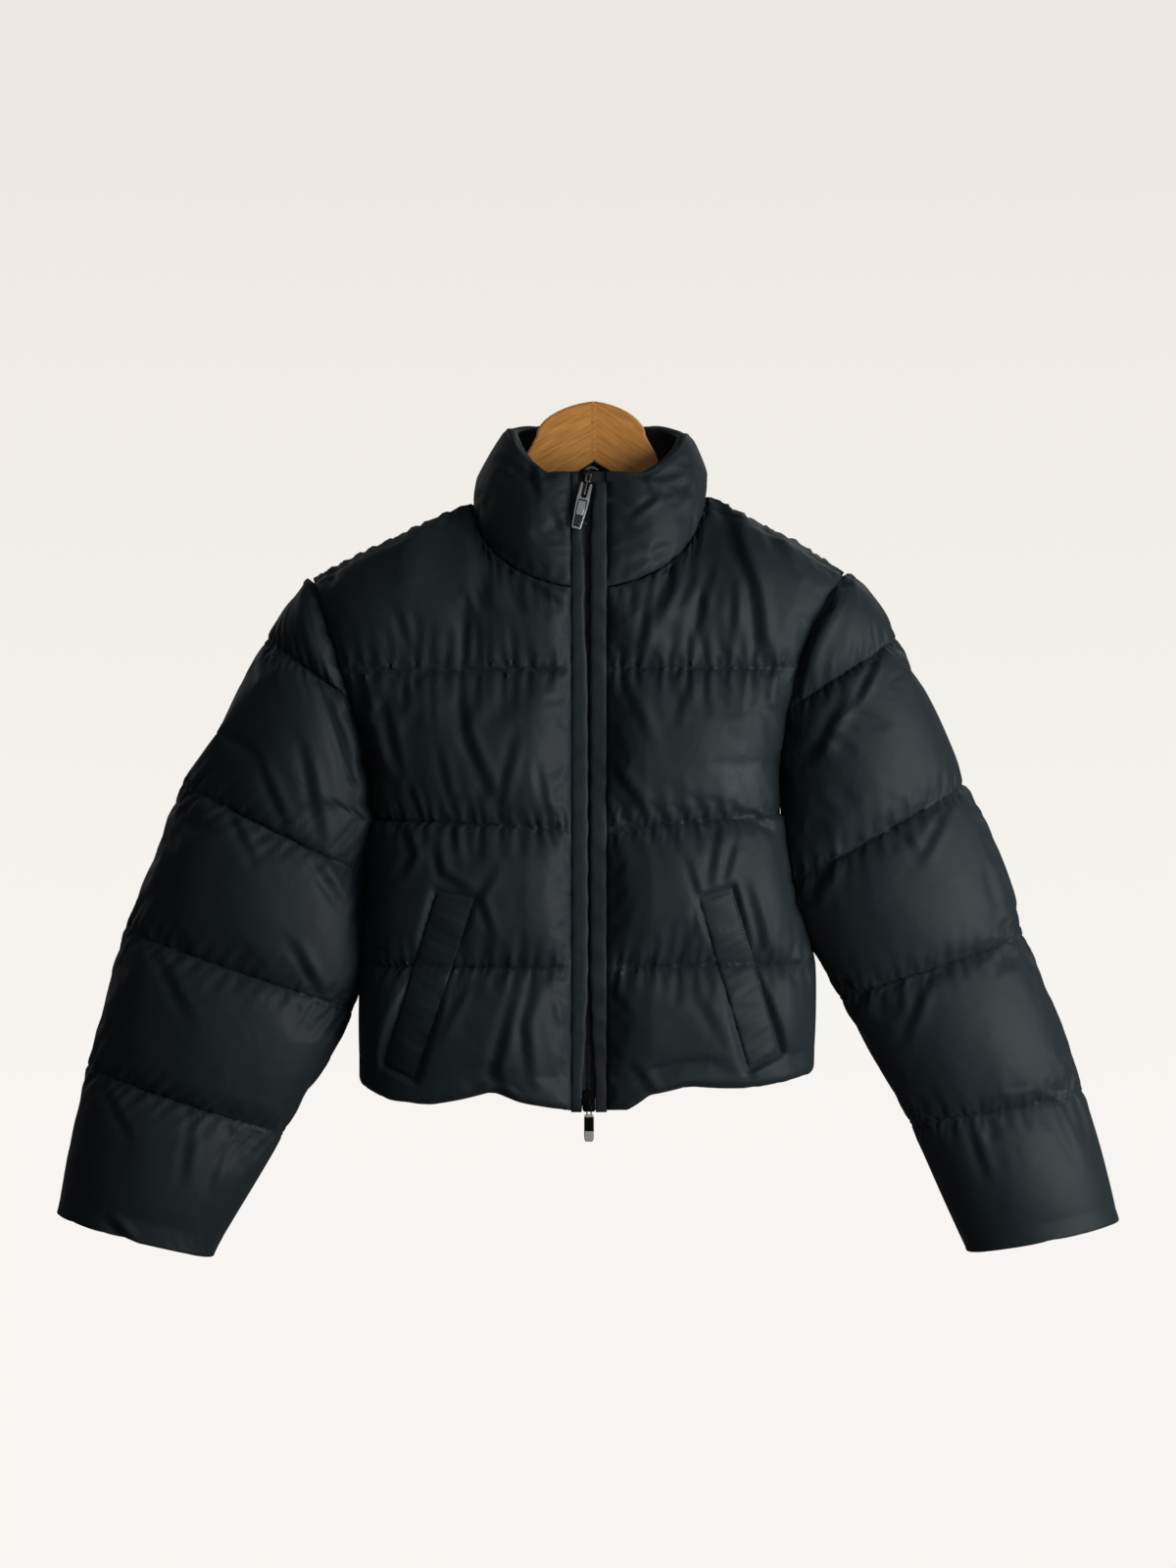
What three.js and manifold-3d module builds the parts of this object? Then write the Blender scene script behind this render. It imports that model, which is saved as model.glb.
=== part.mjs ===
// A cropped puffer jacket with a stand-up collar and a two-way zip, on a wooden hanger.
// Millimetres, +Z up, the front of the jacket faces -Y and the wearer's left is +X.
// The origin is the crown of the hanger's head, which is where the hanging jacket is held.
// Every quilted piece is a closed padded wall: a plain inside, and an outside that is thin at
// its sewn lines and swells between them. Neighbouring pieces keep a small gap at their seams.
import * as THREE from "three";
import { mergeVertices } from "three/addons/utils/BufferGeometryUtils.js";
import Module from "manifold-3d";

const wasm = await Module();
wasm.setup();

// Driving dimensions
const SEAM_WALL = 6; // thickness of the padded wall on a sewn line
const FACE_LOFT = 15; // how far a baffle swells past that on the front and back faces
const SIDE_LOFT = 2; // the same along the side seams and the sleeves' inner outline
const SIDE_RAMP = 45; // distance from a side seam over which a baffle reaches its full loft
const YOKE_SHARE = 0.75; // swell of the yoke, as a share of a baffle's
const HEM_SHARE = 0.7; // least swell of the lowest baffles next to the rolled hem
const CUFF_SHARE = 0.75; // the same at the cuffs
const SWELL_POWER = 0.62; // below 1 makes a baffle rise steeply from its sewn lines
const SEAM_GAP = 0.3; // clearance between two sewn pieces
const COLLAR_LIFT = 1.2; // height of the collar's foot above the neck edges
const ARMHOLE_GAP = 1; // clearance along the curved armholes
const FRONT_EDGE = 15; // half the width of the strip down the middle that the zip takes up
const ZIP_WALL = 4; // thickness of the fronts and the collar along the zip
const ZIP_RAMP = 34; // distance from the zip over which a baffle reaches its full loft
const ROUNDNESS = 2.5; // exponent of the body's rounded-box section
const ARM_RAMP = 22; // distance from the armhole over which the loft builds up
const INNER_CUT = 0.4; // share of the armhole's angle to which a sleeve's inside stays open
const UNDERARM_FADE = 0.35; // share of a baffle below the underarm that stays pulled in
const MEAN_RADIUS = 60; // of a sleeve ring, turns its angles into distances
const CAP_CLEAR = 2; // how far the first sleeve ring's inside reaches past the armhole
const ROOF_FROM = 0.45; // share of the shoulder over which its slope rounds into a flat roof
const SINK_FROM = 1; // neck angle from which the inside of the wall lies below the seam
const NECK_SPLIT = 0.46; // share of a panel's columns that run up to the neck seam
const COLLAR_LOFT = 9; // swell of the collar between its neck seam and its top edge
const COLLAR_TOP_WALL = 9; // thickness of the collar at its top edge
const COLLAR_BOW = 1; // how far the collar bows out between its edges
const COLLAR_SQUARE = 0.85; // below 1 squares the top edge's corners
const COLLAR_DIP = 1.15; // above 1 keeps the top edge's height longer around the front and back
const COLLAR_FALL = 1.5; // power of the top edge's fall from the side to the front
const COLLAR_LIP = 3; // rounding of the collar's top edge
const COLLAR_WIDEN = 0.5; // share of the wall's thickness that widens the collar above its foot
const NECK_SPREAD = 0.35; // share of the wall's thickness that widens the neck seam
const HEM_LIP = 5; // how far the rolled hem and cuffs bulge below the last row

// Rows of the body from the hem up to the top quilting line. Heights at the zip and at the sides,
// half widths of the outline, and half depths of the hollow to the front and to the back.
const BODY_ROWS = [
  { name: "hem", zipZ: -602, rightZ: -586, leftZ: -578, right: 196, left: 193, front: 50, back: 46 },
  { name: "low line", zipZ: -488, rightZ: -488, leftZ: -484, right: 194, left: 193, front: 55, back: 50 },
  { name: "middle line", zipZ: -370, rightZ: -361, leftZ: -357, right: 186, left: 165, front: 57, back: 52 },
  { name: "top line", zipZ: -234, rightZ: -234, leftZ: -232, right: 214, left: 176, front: 53, back: 50 },
];

// The lower edge of the body from the wearer's right to the left, as it swags when it hangs.
const HEM_LINE = [
  { x: -197, z: -584 },
  { x: -173, z: -595 },
  { x: -137, z: -599 },
  { x: -82, z: -589 },
  { x: -55, z: -597 },
  { x: -14, z: -604 },
  { x: 33, z: -603 },
  { x: 52, z: -592 },
  { x: 84, z: -585 },
  { x: 135, z: -585 },
  { x: 169, z: -580 },
  { x: 193, z: -574 },
];

// Armhole seams as seen from the front, from the shoulder point down to the underarm.
const ARMHOLE = {
  right: [
    { z: -150, x: 240 },
    { z: -175, x: 231 },
    { z: -214, x: 219 },
    { z: -268, x: 203 },
    { z: -303, x: 194 },
    { z: -339, x: 188 },
    { z: -380, x: 184 },
  ],
  left: [
    { z: -148, x: 221 },
    { z: -171, x: 205 },
    { z: -195, x: 192 },
    { z: -229, x: 180 },
    { z: -268, x: 171 },
    { z: -315, x: 166 },
    { z: -380, x: 165 },
  ],
};

// Shoulder lines from the neck point out to the shoulder point.
const SHOULDER = {
  right: [
    { x: 105, z: -89 },
    { x: 127, z: -98 },
    { x: 180, z: -123 },
    { x: 240, z: -153 },
  ],
  left: [
    { x: 108, z: -83 },
    { x: 131, z: -97 },
    { x: 178, z: -121 },
    { x: 221, z: -148 },
  ],
};

// Neck seam: half width, height at the neck point, and how far it drops to the front and back.
const NECK = {
  right: { half: 98, z: -89, frontDrop: 75.9, backDrop: 14 },
  left: { half: 98, z: -83, frontDrop: 81.9, backDrop: 20 },
};
const NECK_DEPTH = { front: 60, back: 50 }; // half depths of the neck opening

// Collar's top edge: half depth, heights at the front and back, half widths and heights at the sides.
const COLLAR_TOP = { depth: 45, frontZ: -67, backZ: -20 };
const COLLAR_SIDE = { right: { half: 62, z: -26 }, left: { half: 77, z: -30 } };

// Rings of each sleeve across its axis, from the shoulder down: the outer point of the ring in the
// front view, the slope of the ring towards the body in degrees below level, its full width there,
// its half depth, and the swell of the outline in the baffle that starts there. The rows between
// the first and the last are quilting lines.
const SLEEVE_RINGS = {
  right: [
    { name: "cap", x: 241, z: -152, slope: 30, width: 118, depth: 38, loft: 3 },
    { name: "line 1", x: 278, z: -206, slope: 36, width: 132, depth: 42, loft: 1 },
    { name: "line 2", x: 352, z: -331, slope: 26.6, width: 177, depth: 44, loft: 0 },
    { name: "line 3", x: 402, z: -457, slope: 19.3, width: 205, depth: 44, loft: 1 },
    { name: "line 4", x: 434, z: -576, slope: 18.8, width: 178, depth: 42, loft: 2 },
    { name: "cuff", x: 459, z: -701, slope: 11, width: 140, depth: 40, loft: 2 },
  ],
  left: [
    { name: "cap", x: 222, z: -147, slope: 15, width: 110, depth: 38, loft: 5 },
    { name: "line 1", x: 265, z: -206, slope: 33.8, width: 126, depth: 42, loft: 7 },
    { name: "line 2", x: 323, z: -332, slope: 30.2, width: 167, depth: 44, loft: 9 },
    { name: "line 3", x: 375, z: -462, slope: 18.8, width: 163, depth: 44, loft: 5 },
    { name: "line 4", x: 427, z: -597, slope: 10, width: 151, depth: 42, loft: 1 },
    { name: "cuff", x: 458, z: -707, slope: 11.7, width: 132, depth: 40, loft: 1 },
  ],
};
const CUFF_SAG = { right: 11, left: 0 }; // how far the cuff hangs down towards the body

// Zip, seen across its width
const TAPE = { from: 2.8, to: 14.6, back: 0.2, front: 1.6 };
const CHAIN = { half: 2.4, back: -1.2, front: 1.4 };
const GUARD = { to: 14.6, back: 2.1, front: 5.6 };
const STRIP_ROWS = { collar: 7, front: 20 };
// Inner edge of the guard strips from the top of the collar down: they part where the teeth show.
const GUARD_EDGE = [
  { z: -64, right: 9.6, left: 5.2 },
  { z: -78, right: 9, left: 5 },
  { z: -92, right: 8, left: 2.8 },
  { z: -120, right: 6, left: 1.2 },
  { z: -150, right: 3.5, left: 1 },
  { z: -190, right: 4.2, left: 1 },
  { z: -240, right: 1.2, left: 0.8 },
  { z: -330, right: 0.8, left: 0.8 },
  { z: -500, right: 0.8, left: 0.8 },
  { z: -555, right: 3.2, left: 3 },
  { z: -588, right: 5.6, left: 5 },
  { z: -606, right: 6, left: 5.4 },
];
const GUARD_TOP = { right: -64, left: -73 };
const ZIP_TOP = -64;
const ZIP_BOTTOM = -606;

// Sliders and their pull tabs
// Outline of a slider's body, as shares of its half width and half height.
const SLIDER_CORNERS = [[-0.6, -1], [0.6, -1], [1, 0.4], [0.7, 1], [-0.7, 1], [-1, 0.4]];
const SLIDER = { half: 4.4, height: 13, back: 2.3, front: 5.8 };
// The bail, an arch on the slider's face: the pull's eye hangs on its lower post.
const BAIL = { half: 0.8, post: 1.5, under: -3.5, over: 5, inside: 9.4, outside: 11 };
const PULL_PLANE = 7.8; // from the zip line to the middle of the pull's plate
const EYE = { corners: 12, radius: 2.2, below: 3.1, bridge: 0.9 }; // hole in the pull, below its axis
const PULL_THICKNESS = 2;
const SLIDERS = {
  top: { z: -68, pivot: 0, lean: 13, hang: 0.26, length: 50, eyeHalf: 5.2, endHalf: 3.9 },
  bottom: { z: -599, pivot: -7, lean: 0, hang: 0, length: 31, eyeHalf: 3.7, endHalf: 3.3 },
};

// Pocket welts: the four corners in the front view, and the strip's thickness.
const WELT = {
  right: { topIn: [-97, -428], topOut: [-130, -423], endIn: [-149, -584], endOut: [-176, -572] },
  left: { topIn: [93, -428], topOut: [122, -420], endIn: [136, -575], endOut: [164, -562] },
};
const WELT_LIFT = 0.9; // clearance between a welt and the panel under it
const WELT_THICKNESS = 3.5;
const WELT_GRID = { rows: 22, columns: 3 };

const ARM_CLEAR = { right: 3, left: 4.5 }; // from the top of the hanger's arms to the cloth on them

// Wooden hanger
const HANGER = {
  middle: 4, // the glue line between its halves
  thickness: 13,
  bevel: 2,
  head: { right: 50, left: 45.5 }, // reach of the round head from the glue line
  headSteps: 10,
  headPower: 1.3, // above 1 makes the dome narrower near its crown
  headTop: 0,
  headSide: -31,
  notch: -51,
  notchFoot: { out: 30, below: 17 }, // end of the notch's shallow stretch
};
// Flare and waist under the dome: distance out past the head's reach and height below its sides.
const HANGER_WAIST = [
  { out: 9, below: 16 },
  { out: 12, below: 26 },
  { out: 10, below: 36 },
  { out: 16, below: 52 },
];
// Arm from the waist out to the tip: how far its top and its bottom lie below the shoulder's inside.
const HANGER_TOP = [
  { x: 96, below: 20 },
  { x: 118, below: 11 },
  { x: 140, below: 4 },
  { x: 168, below: 0 },
  { x: 190, below: 0 },
  { x: 208, below: 0 },
  { x: 211, below: 11 },
];
const HANGER_UNDER = [
  { x: 206, below: 24 },
  { x: 180, below: 44 },
  { x: 140, below: 44 },
  { x: 100, below: 42 },
  { x: 60, below: 25 },
];

// Small tools for numbers
const SIDES = { right: -1, left: 1 };
const clamp = (t) => Math.max(0, Math.min(1, t));
const mix = (a, b, t) => a + (b - a) * t;
const smooth = (t) => clamp(t) ** 2 * (3 - 2 * clamp(t));

// One column of a table at a fractional row, on a smooth curve through the rows.
function column(rows, key, at) {
  const last = rows.length - 1;
  const i = Math.max(0, Math.min(Math.floor(at), last - 1));
  const t = at - i;
  const row = (k) => rows[Math.max(0, Math.min(last, k))][key];
  const [a, b, c, d] = [row(i - 1), row(i), row(i + 1), row(i + 2)];
  return 0.5 * (2 * b + (c - a) * t + (2 * a - 5 * b + 4 * c - d) * t * t + (3 * b - 3 * c + d - a) * t ** 3);
}

// One column of a table looked up by another, which rises or falls down the rows.
function lookup(rows, from, to, value) {
  const rising = rows[1][from] > rows[0][from];
  const past = rows.findIndex((row) => (rising ? row[from] >= value : row[from] <= value));
  if (past === 0) return rows[0][to];
  if (past < 0) return rows[rows.length - 1][to];
  const [a, b] = [rows[past - 1], rows[past]];
  return mix(a[to], b[to], (value - a[from]) / (b[from] - a[from]));
}

// Where a rising function of one number crosses zero between two limits.
function solve(f, low, high) {
  let [a, b] = [low, high];
  for (let i = 0; i < 40; i += 1) {
    const middle = (a + b) / 2;
    if (f(middle) < 0) a = middle;
    else b = middle;
  }
  return (a + b) / 2;
}

// Swell of a baffle between two sewn lines, 0 on the lines and 1 at its crown.
const swell = (t) => (1 - (2 * clamp(t) - 1) ** 2) ** SWELL_POWER;
const roundedBox = (s) => (1 - clamp(s) ** ROUNDNESS) ** (1 / ROUNDNESS);
const armholeX = (side, z) => lookup(ARMHOLE[side], "z", "x", z);

// Closed walls: an outer and an inner skin of points over the same rows and columns, joined along
// their edges. When a wall closes on itself, its two side edges meet from the row "joined" on.
function wallGeometry({ rows, columns, skin, joined = rows + 1, lipAtStart, lipAtEnd }) {
  const points = [];
  const faces = [];
  const keys = new Map();
  const add = (p) => {
    const key = p.map((c) => Math.round(c * 1000)).join();
    if (!keys.has(key)) {
      keys.set(key, points.length / 3);
      points.push(...p);
    }
    return keys.get(key);
  };
  const triangle = (a, b, c) => {
    if (a !== b && b !== c && c !== a) faces.push(a, b, c);
  };
  const quad = (a, b, c, d) => {
    triangle(a, b, c);
    triangle(a, c, d);
  };
  const grid = [1, 0].map((layer) =>
    Array.from({ length: rows + 1 }, (_, i) =>
      Array.from({ length: columns + 1 }, (_, j) => add(skin(i, j, layer))),
    ),
  );
  const [outer, inner] = grid;
  for (let i = 0; i < rows; i += 1)
    for (let j = 0; j < columns; j += 1) {
      quad(outer[i][j], outer[i + 1][j], outer[i + 1][j + 1], outer[i][j + 1]);
      quad(inner[i][j], inner[i][j + 1], inner[i + 1][j + 1], inner[i + 1][j]);
    }
  for (let i = 0; i < Math.min(rows, joined); i += 1) {
    quad(outer[i][0], inner[i][0], inner[i + 1][0], outer[i + 1][0]);
    quad(outer[i][columns], outer[i + 1][columns], inner[i + 1][columns], inner[i][columns]);
  }
  const edge = (row, lip, turned) => {
    for (let j = 0; j < columns; j += 1) {
      const line = [outer[row][j], outer[row][j + 1], inner[row][j + 1], inner[row][j]];
      if (!lip) {
        quad(...(turned ? line.reverse() : line));
        continue;
      }
      const closed = joined <= rows;
      const ends = [j, j + 1].map((k) => (!closed && (k === 0 || k === columns) ? null : add(lip(k))));
      const near = [line[0], line[1], ends[1], ends[0]].filter((k) => k !== null);
      const far = [ends[0], ends[1], line[2], line[3]].filter((k) => k !== null);
      for (const ring of [near, far]) {
        const loop = turned ? [...ring].reverse() : ring;
        for (let k = 1; k < loop.length - 1; k += 1) triangle(loop[0], loop[k], loop[k + 1]);
      }
      for (const [end, k] of [[0, j], [1, j + 1]])
        if (ends[end] === null) {
          const cap = [outer[row][k], ends[1 - end], inner[row][k]];
          triangle(...((end === 0) !== turned ? cap : cap.reverse()));
        }
    }
  };
  edge(0, lipAtStart, false);
  edge(rows, lipAtEnd, true);
  return closedGeometry(points, faces);
}

// Two closed geometries joined into one.
function join(...geometries) {
  const solids = geometries.map((geometry) => {
    const bare = new THREE.BufferGeometry().setAttribute("position", geometry.getAttribute("position"));
    bare.setIndex(geometry.index);
    const merged = mergeVertices(bare, 1e-4);
    const triVerts = new Uint32Array(merged.index.array);
    const vertProperties = merged.attributes.position.array;
    return new wasm.Manifold(new wasm.Mesh({ numProp: 3, vertProperties, triVerts }));
  });
  const mesh = solids.reduce((whole, solid) => whole.add(solid)).getMesh();
  const joined = new THREE.BufferGeometry();
  joined.setAttribute("position", new THREE.BufferAttribute(mesh.vertProperties, 3));
  joined.setIndex(new THREE.BufferAttribute(mesh.triVerts, 1));
  return joined;
}

// A geometry whose faces point out, whichever way round its faces were listed.
function closedGeometry(points, faces) {
  let volume = 0;
  const at = (k) => new THREE.Vector3().fromArray(points, 3 * k);
  for (let i = 0; i < faces.length; i += 3)
    volume += at(faces[i]).dot(at(faces[i + 1]).cross(at(faces[i + 2])));
  const index = volume < 0 ? [...faces].reverse() : faces;
  const geometry = new THREE.BufferGeometry();
  geometry.setAttribute("position", new THREE.Float32BufferAttribute(points, 3));
  geometry.setIndex(index);
  return geometry;
}

// Sleeve: a point on a ring. The angle is 0 on the side of the body and pi on the outer side, and
// the layer is the height above the plain inner skin.
function sleevePoint(side, at, angle, layer) {
  const rings = SLEEVE_RINGS[side];
  const slope = THREE.MathUtils.degToRad(column(rings, "slope", at));
  const half = column(rings, "width", at) / 2;
  const reach = half - SEAM_WALL + layer;
  const deep = column(rings, "depth", at) - SEAM_WALL + layer;
  const middleX = column(rings, "x", at) - half * Math.cos(slope);
  const middleZ = column(rings, "z", at) - half * Math.sin(slope);
  const along = reach * Math.cos(angle);
  const sag = CUFF_SAG[side] * clamp(at - 4) ** 2 * clamp(0.5 + 0.5 * Math.cos(angle));
  const x = middleX - along * Math.cos(slope) + sag * Math.sin(slope);
  const z = middleZ - along * Math.sin(slope) - sag * Math.cos(slope);
  return { x, y: -deep * Math.sin(angle), z };
}

// The ring on which the sleeve leaves the armhole and closes into a tube.
const UNDERARM_AT = Object.fromEntries(
  Object.keys(SIDES).map((side) => {
    const beyond = (at) => {
      const p = sleevePoint(side, at, 0, SEAM_WALL);
      return p.x - armholeX(side, p.z);
    };
    return [side, solve(beyond, 1, 2)];
  }),
);

// The first ring, just past the shoulder point, where even the inside reaches out of the armhole.
const CAP_AT = Object.fromEntries(
  Object.keys(SIDES).map((side) => {
    const beyond = (at) => {
      const p = sleevePoint(side, at, Math.PI, 0);
      return p.x - armholeX(side, p.z) - CAP_CLEAR;
    };
    return [side, solve(beyond, 0, 1)];
  }),
);

// The angle at which a ring meets the armhole seam, 0 below the underarm.
function armholeAngle(side, at, layer) {
  if (at >= UNDERARM_AT[side] - 1e-6) return 0;
  const beyond = (angle) => {
    const p = sleevePoint(side, at, angle, layer);
    return p.x - armholeX(side, p.z) - ARMHOLE_GAP / 2;
  };
  if (beyond(0) > 0) return 0;
  return solve(beyond, 0, Math.PI);
}

// The same for the sleeve's own edge: its inside stays open as long as its outside does.
const cutAngle = (side, at, layer) =>
  Math.max(armholeAngle(side, at, layer), INNER_CUT * armholeAngle(side, at, SEAM_WALL));

// Loft of the sleeve: full on its front and back, small along its outline, none at the armhole.
function sleeveLoft(side, at, angle) {
  const turned = Math.min(angle, 2 * Math.PI - angle);
  const away = Math.max(0, turned - armholeAngle(side, at, SEAM_WALL)) * MEAN_RADIUS;
  const nearArmhole = Math.sqrt(clamp(away / ARM_RAMP));
  const blend = mix(nearArmhole, 1, smooth((at - UNDERARM_AT[side]) / UNDERARM_FADE));
  const baffle = Math.min(Math.floor(at), SLEEVE_RINGS[side].length - 2);
  const outline = Math.cos(turned) < 0 ? SLEEVE_RINGS[side][baffle].loft : SIDE_LOFT;
  const around = mix(outline, FACE_LOFT, Math.sin(turned) ** 2);
  const last = SLEEVE_RINGS[side].length - 2;
  const between = at > last ? Math.max(swell(at - last), at - last > 0.5 ? CUFF_SHARE : 0) : swell(at % 1);
  return SEAM_WALL + around * between * blend;
}

// Armhole seam as the body meets it: half depth of the opening at a height, for the outer layer
// (1) and the inner one (0).
const ARMHOLE_SECTION = Object.fromEntries(
  Object.keys(SIDES).map((side) => [
    side,
    [0, SEAM_WALL].map((layer) => {
      const rows = [];
      const steps = 60;
      for (let k = 0; k <= steps; k += 1) {
        const at = mix(CAP_AT[side], UNDERARM_AT[side], k / steps);
        const angle = cutAngle(side, at, layer);
        const p = sleevePoint(side, at, angle, layer);
        rows.push({ z: p.z, y: Math.max(SEAM_GAP / 2, -p.y) });
      }
      rows.push({ z: rows[steps].z - 1, y: SEAM_GAP / 2 });
      rows.unshift({ z: rows[0].z + 1.5, y: SEAM_GAP / 2 });
      return rows;
    }),
  ]),
);

function armholeDepth(side, z, layer) {
  const [inner, outer] = ARMHOLE_SECTION[side].map((rows) => lookup(rows, "z", "y", z));
  return mix(inner, outer, clamp(layer / SEAM_WALL));
}

// Neck seam: a point at an angle from the front middle, 0, round to the neck point, a right angle.
const neckStart = (side) => Math.asin(FRONT_EDGE / NECK[side].half);
function neckPoint(side, face, angle, layer) {
  const neck = NECK[side];
  const drop = face === "front" ? neck.frontDrop : neck.backDrop;
  return {
    x: (neck.half + NECK_SPREAD * layer) * Math.sin(angle),
    y: (NECK_DEPTH[face] + layer) * Math.cos(angle),
    z: neck.z - drop * Math.cos(angle),
  };
}

// Body panels. s runs from the middle, 0, to the side or the armhole, 1, and the row from the hem,
// 0, to the top quilting line, 3, and on to the neck and shoulder seams, 4.
function rowHeight(side, row, share, x) {
  const height = (k) => mix(BODY_ROWS[k].zipZ, BODY_ROWS[k][side + "Z"], share);
  const low = row < 1 ? lookup(HEM_LINE, "x", "z", SIDES[side] * x) : height(Math.floor(row));
  return mix(low, height(Math.min(3, Math.floor(row) + 1)), row - Math.floor(row));
}

// Half width of the body's outline below the underarm.
function sideWidth(side, row) {
  const i = Math.min(1, Math.floor(row));
  const up = Math.min(1, row - i);
  return mix(BODY_ROWS[i + 1][side], BODY_ROWS[i][side], i === 1 ? (1 - up) ** 1.5 : 1 - up);
}

function panelPoint(side, face, s, row, layer, middle) {
  const mark = SIDES[side];
  const front = face === "front" ? -1 : 1;
  const across = roundedBox(s);
  if (row <= 3) {
    const at = Math.min(row, 2.9999);
    const edgeZ = rowHeight(side, at, 1, BODY_ROWS[0][side]);
    const open = sideWidth(side, at) - SEAM_WALL + layer;
    const seamed = armholeX(side, edgeZ) - ARMHOLE_GAP / 2;
    const edge = row <= 2 ? mix(open, seamed, smooth((row - 1.97) / 0.03)) : seamed;
    const x = mix(middle, edge, s);
    const z = rowHeight(side, at, s, x);
    const deepest = column(BODY_ROWS, face, at) + layer;
    const side0 = row <= 2 ? SEAM_GAP / 2 : armholeDepth(side, edgeZ, layer);
    return [mark * x, front * mix(side0, deepest, across), z];
  }
  const rise = row - 3;
  const start = middle > 0 ? neckStart(side) : 0;
  const angle = mix(start, Math.PI / 2, clamp(s / NECK_SPLIT));
  const neck = neckPoint(side, face, angle, layer);
  const tip = SHOULDER[side][SHOULDER[side].length - 1];
  const beyond = clamp((s - NECK_SPLIT) / (1 - NECK_SPLIT));
  const upward = mix(1 - rise ** 2, roundedBox(rise), smooth(beyond / ROOF_FROM));
  const topX = mix(neck.x, tip.x - SEAM_GAP / 2, beyond);
  const sunk = (SEAM_WALL - layer) * smooth((angle - SINK_FROM) / (Math.PI / 2 - SINK_FROM));
  const topZ = (beyond > 0 ? lookup(SHOULDER[side], "x", "z", topX) : neck.z) - sunk;
  const edgeZ = mix(BODY_ROWS[3][side + "Z"], tip.z - sunk, rise);
  const edge = armholeX(side, edgeZ) - ARMHOLE_GAP / 2;
  const topShare = (topX - middle) / (tip.x - SEAM_GAP / 2 - middle);
  const x = mix(middle, edge, mix(s, topShare, rise));
  const z = mix(rowHeight(side, 2.9999, s, x), topZ, rise);
  const deepest = column(BODY_ROWS, face, 3) + layer;
  const sideDepth = armholeDepth(side, edgeZ, layer);
  const top = beyond > 0 ? SEAM_GAP / 2 : Math.max(SEAM_GAP / 2, neck.y);
  const y = sideDepth * (1 - across) * (rise < 1 ? 1 : 0) + deepest * across * upward + top * (1 - upward);
  return [mark * x, front * Math.max(SEAM_GAP / 2, y), z];
}

// Share of the full loft at a distance across from the zip.
const zipShare = (x) => Math.sqrt(clamp((x - FRONT_EDGE) / ZIP_RAMP));

// Thickness of a body panel's wall: thin on every sewn edge and quilting line.
function panelWall(side, face, s, row) {
  const half = column(BODY_ROWS, side, Math.min(row, 3));
  const x = Math.abs(panelPoint(side, face, s, row, 0, face === "front" ? FRONT_EDGE : 0)[0]);
  const nearZip = face === "front" ? zipShare(x) : 1;
  const armhole = row > 2;
  const fromSide = (1 - s) * half;
  const pulledIn = Math.sqrt(clamp(fromSide / ARM_RAMP));
  const nearSide = armhole ? pulledIn : mix(SIDE_LOFT / FACE_LOFT, 1, smooth(fromSide / SIDE_RAMP));
  const inBaffle = row > 3 ? row - 3 : row % 1;
  const between = row < 0.5 ? Math.max(swell(row), HEM_SHARE) : swell(inBaffle);
  const base = face === "front" ? mix(ZIP_WALL, SEAM_WALL, nearZip) : SEAM_WALL;
  const share = row > 3 ? YOKE_SHARE : 1;
  return base + FACE_LOFT * share * between * nearZip * nearSide;
}

// Rows and columns: close together near the sewn lines, where the wall turns in.
const IN_BAFFLE = [0, 0.06, 0.22, 0.5, 0.78, 0.94];
const IN_YOKE = [0, 0.07, 0.26, 0.5, 0.74, 0.9, 0.975];
const ACROSS_PANEL = [0, 0.04, 0.12, 0.23, 0.35, 0.46, 0.6, 0.73, 0.85, 0.93, 0.975, 1];
const AROUND_UNDERARM = [1.13, 1.36, 1.64]; // extra rows of the sleeves where they leave the armhole
const ROWS_APART = 0.03; // least distance between two rows of a sleeve
const SLEEVE_COLUMNS = 18;
const PANEL_ROWS = [0, 1, 2].flatMap((k) => IN_BAFFLE.map((t) => k + t)).concat(IN_YOKE.map((t) => 3 + t), 4);

function frontPanel(side) {
  const skin = (i, j, outside) => {
    const [row, s] = [PANEL_ROWS[i], ACROSS_PANEL[j]];
    return panelPoint(side, "front", s, row, outside ? panelWall(side, "front", s, row) : 0, FRONT_EDGE);
  };
  const lip = (j) => {
    const s = ACROSS_PANEL[j];
    const p = panelPoint(side, "front", s, 0, panelWall(side, "front", s, 0) / 2, FRONT_EDGE);
    return [p[0], p[1], p[2] - HEM_LIP];
  };
  const grid = { rows: PANEL_ROWS.length - 1, columns: ACROSS_PANEL.length - 1 };
  return wallGeometry({ ...grid, skin, lipAtStart: lip });
}

function backPanel() {
  const shares = [...ACROSS_PANEL.slice(1).reverse().map((s) => -s), 0, ...ACROSS_PANEL.slice(1)];
  const place = (share, row, layer) => {
    const side = share < 0 ? "right" : "left";
    return panelPoint(side, "back", Math.abs(share), row, layer, 0);
  };
  const wall = (share, row) => panelWall(share < 0 ? "right" : "left", "back", Math.abs(share), row);
  const skin = (i, j, outside) => {
    const [share, row] = [shares[j], PANEL_ROWS[i]];
    return place(share, row, outside ? wall(share, row) : 0);
  };
  const lip = (j) => {
    const p = place(shares[j], 0, wall(shares[j], 0) / 2);
    return [p[0], p[1], p[2] - HEM_LIP];
  };
  return wallGeometry({ rows: PANEL_ROWS.length - 1, columns: shares.length - 1, skin, lipAtStart: lip });
}

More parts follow.
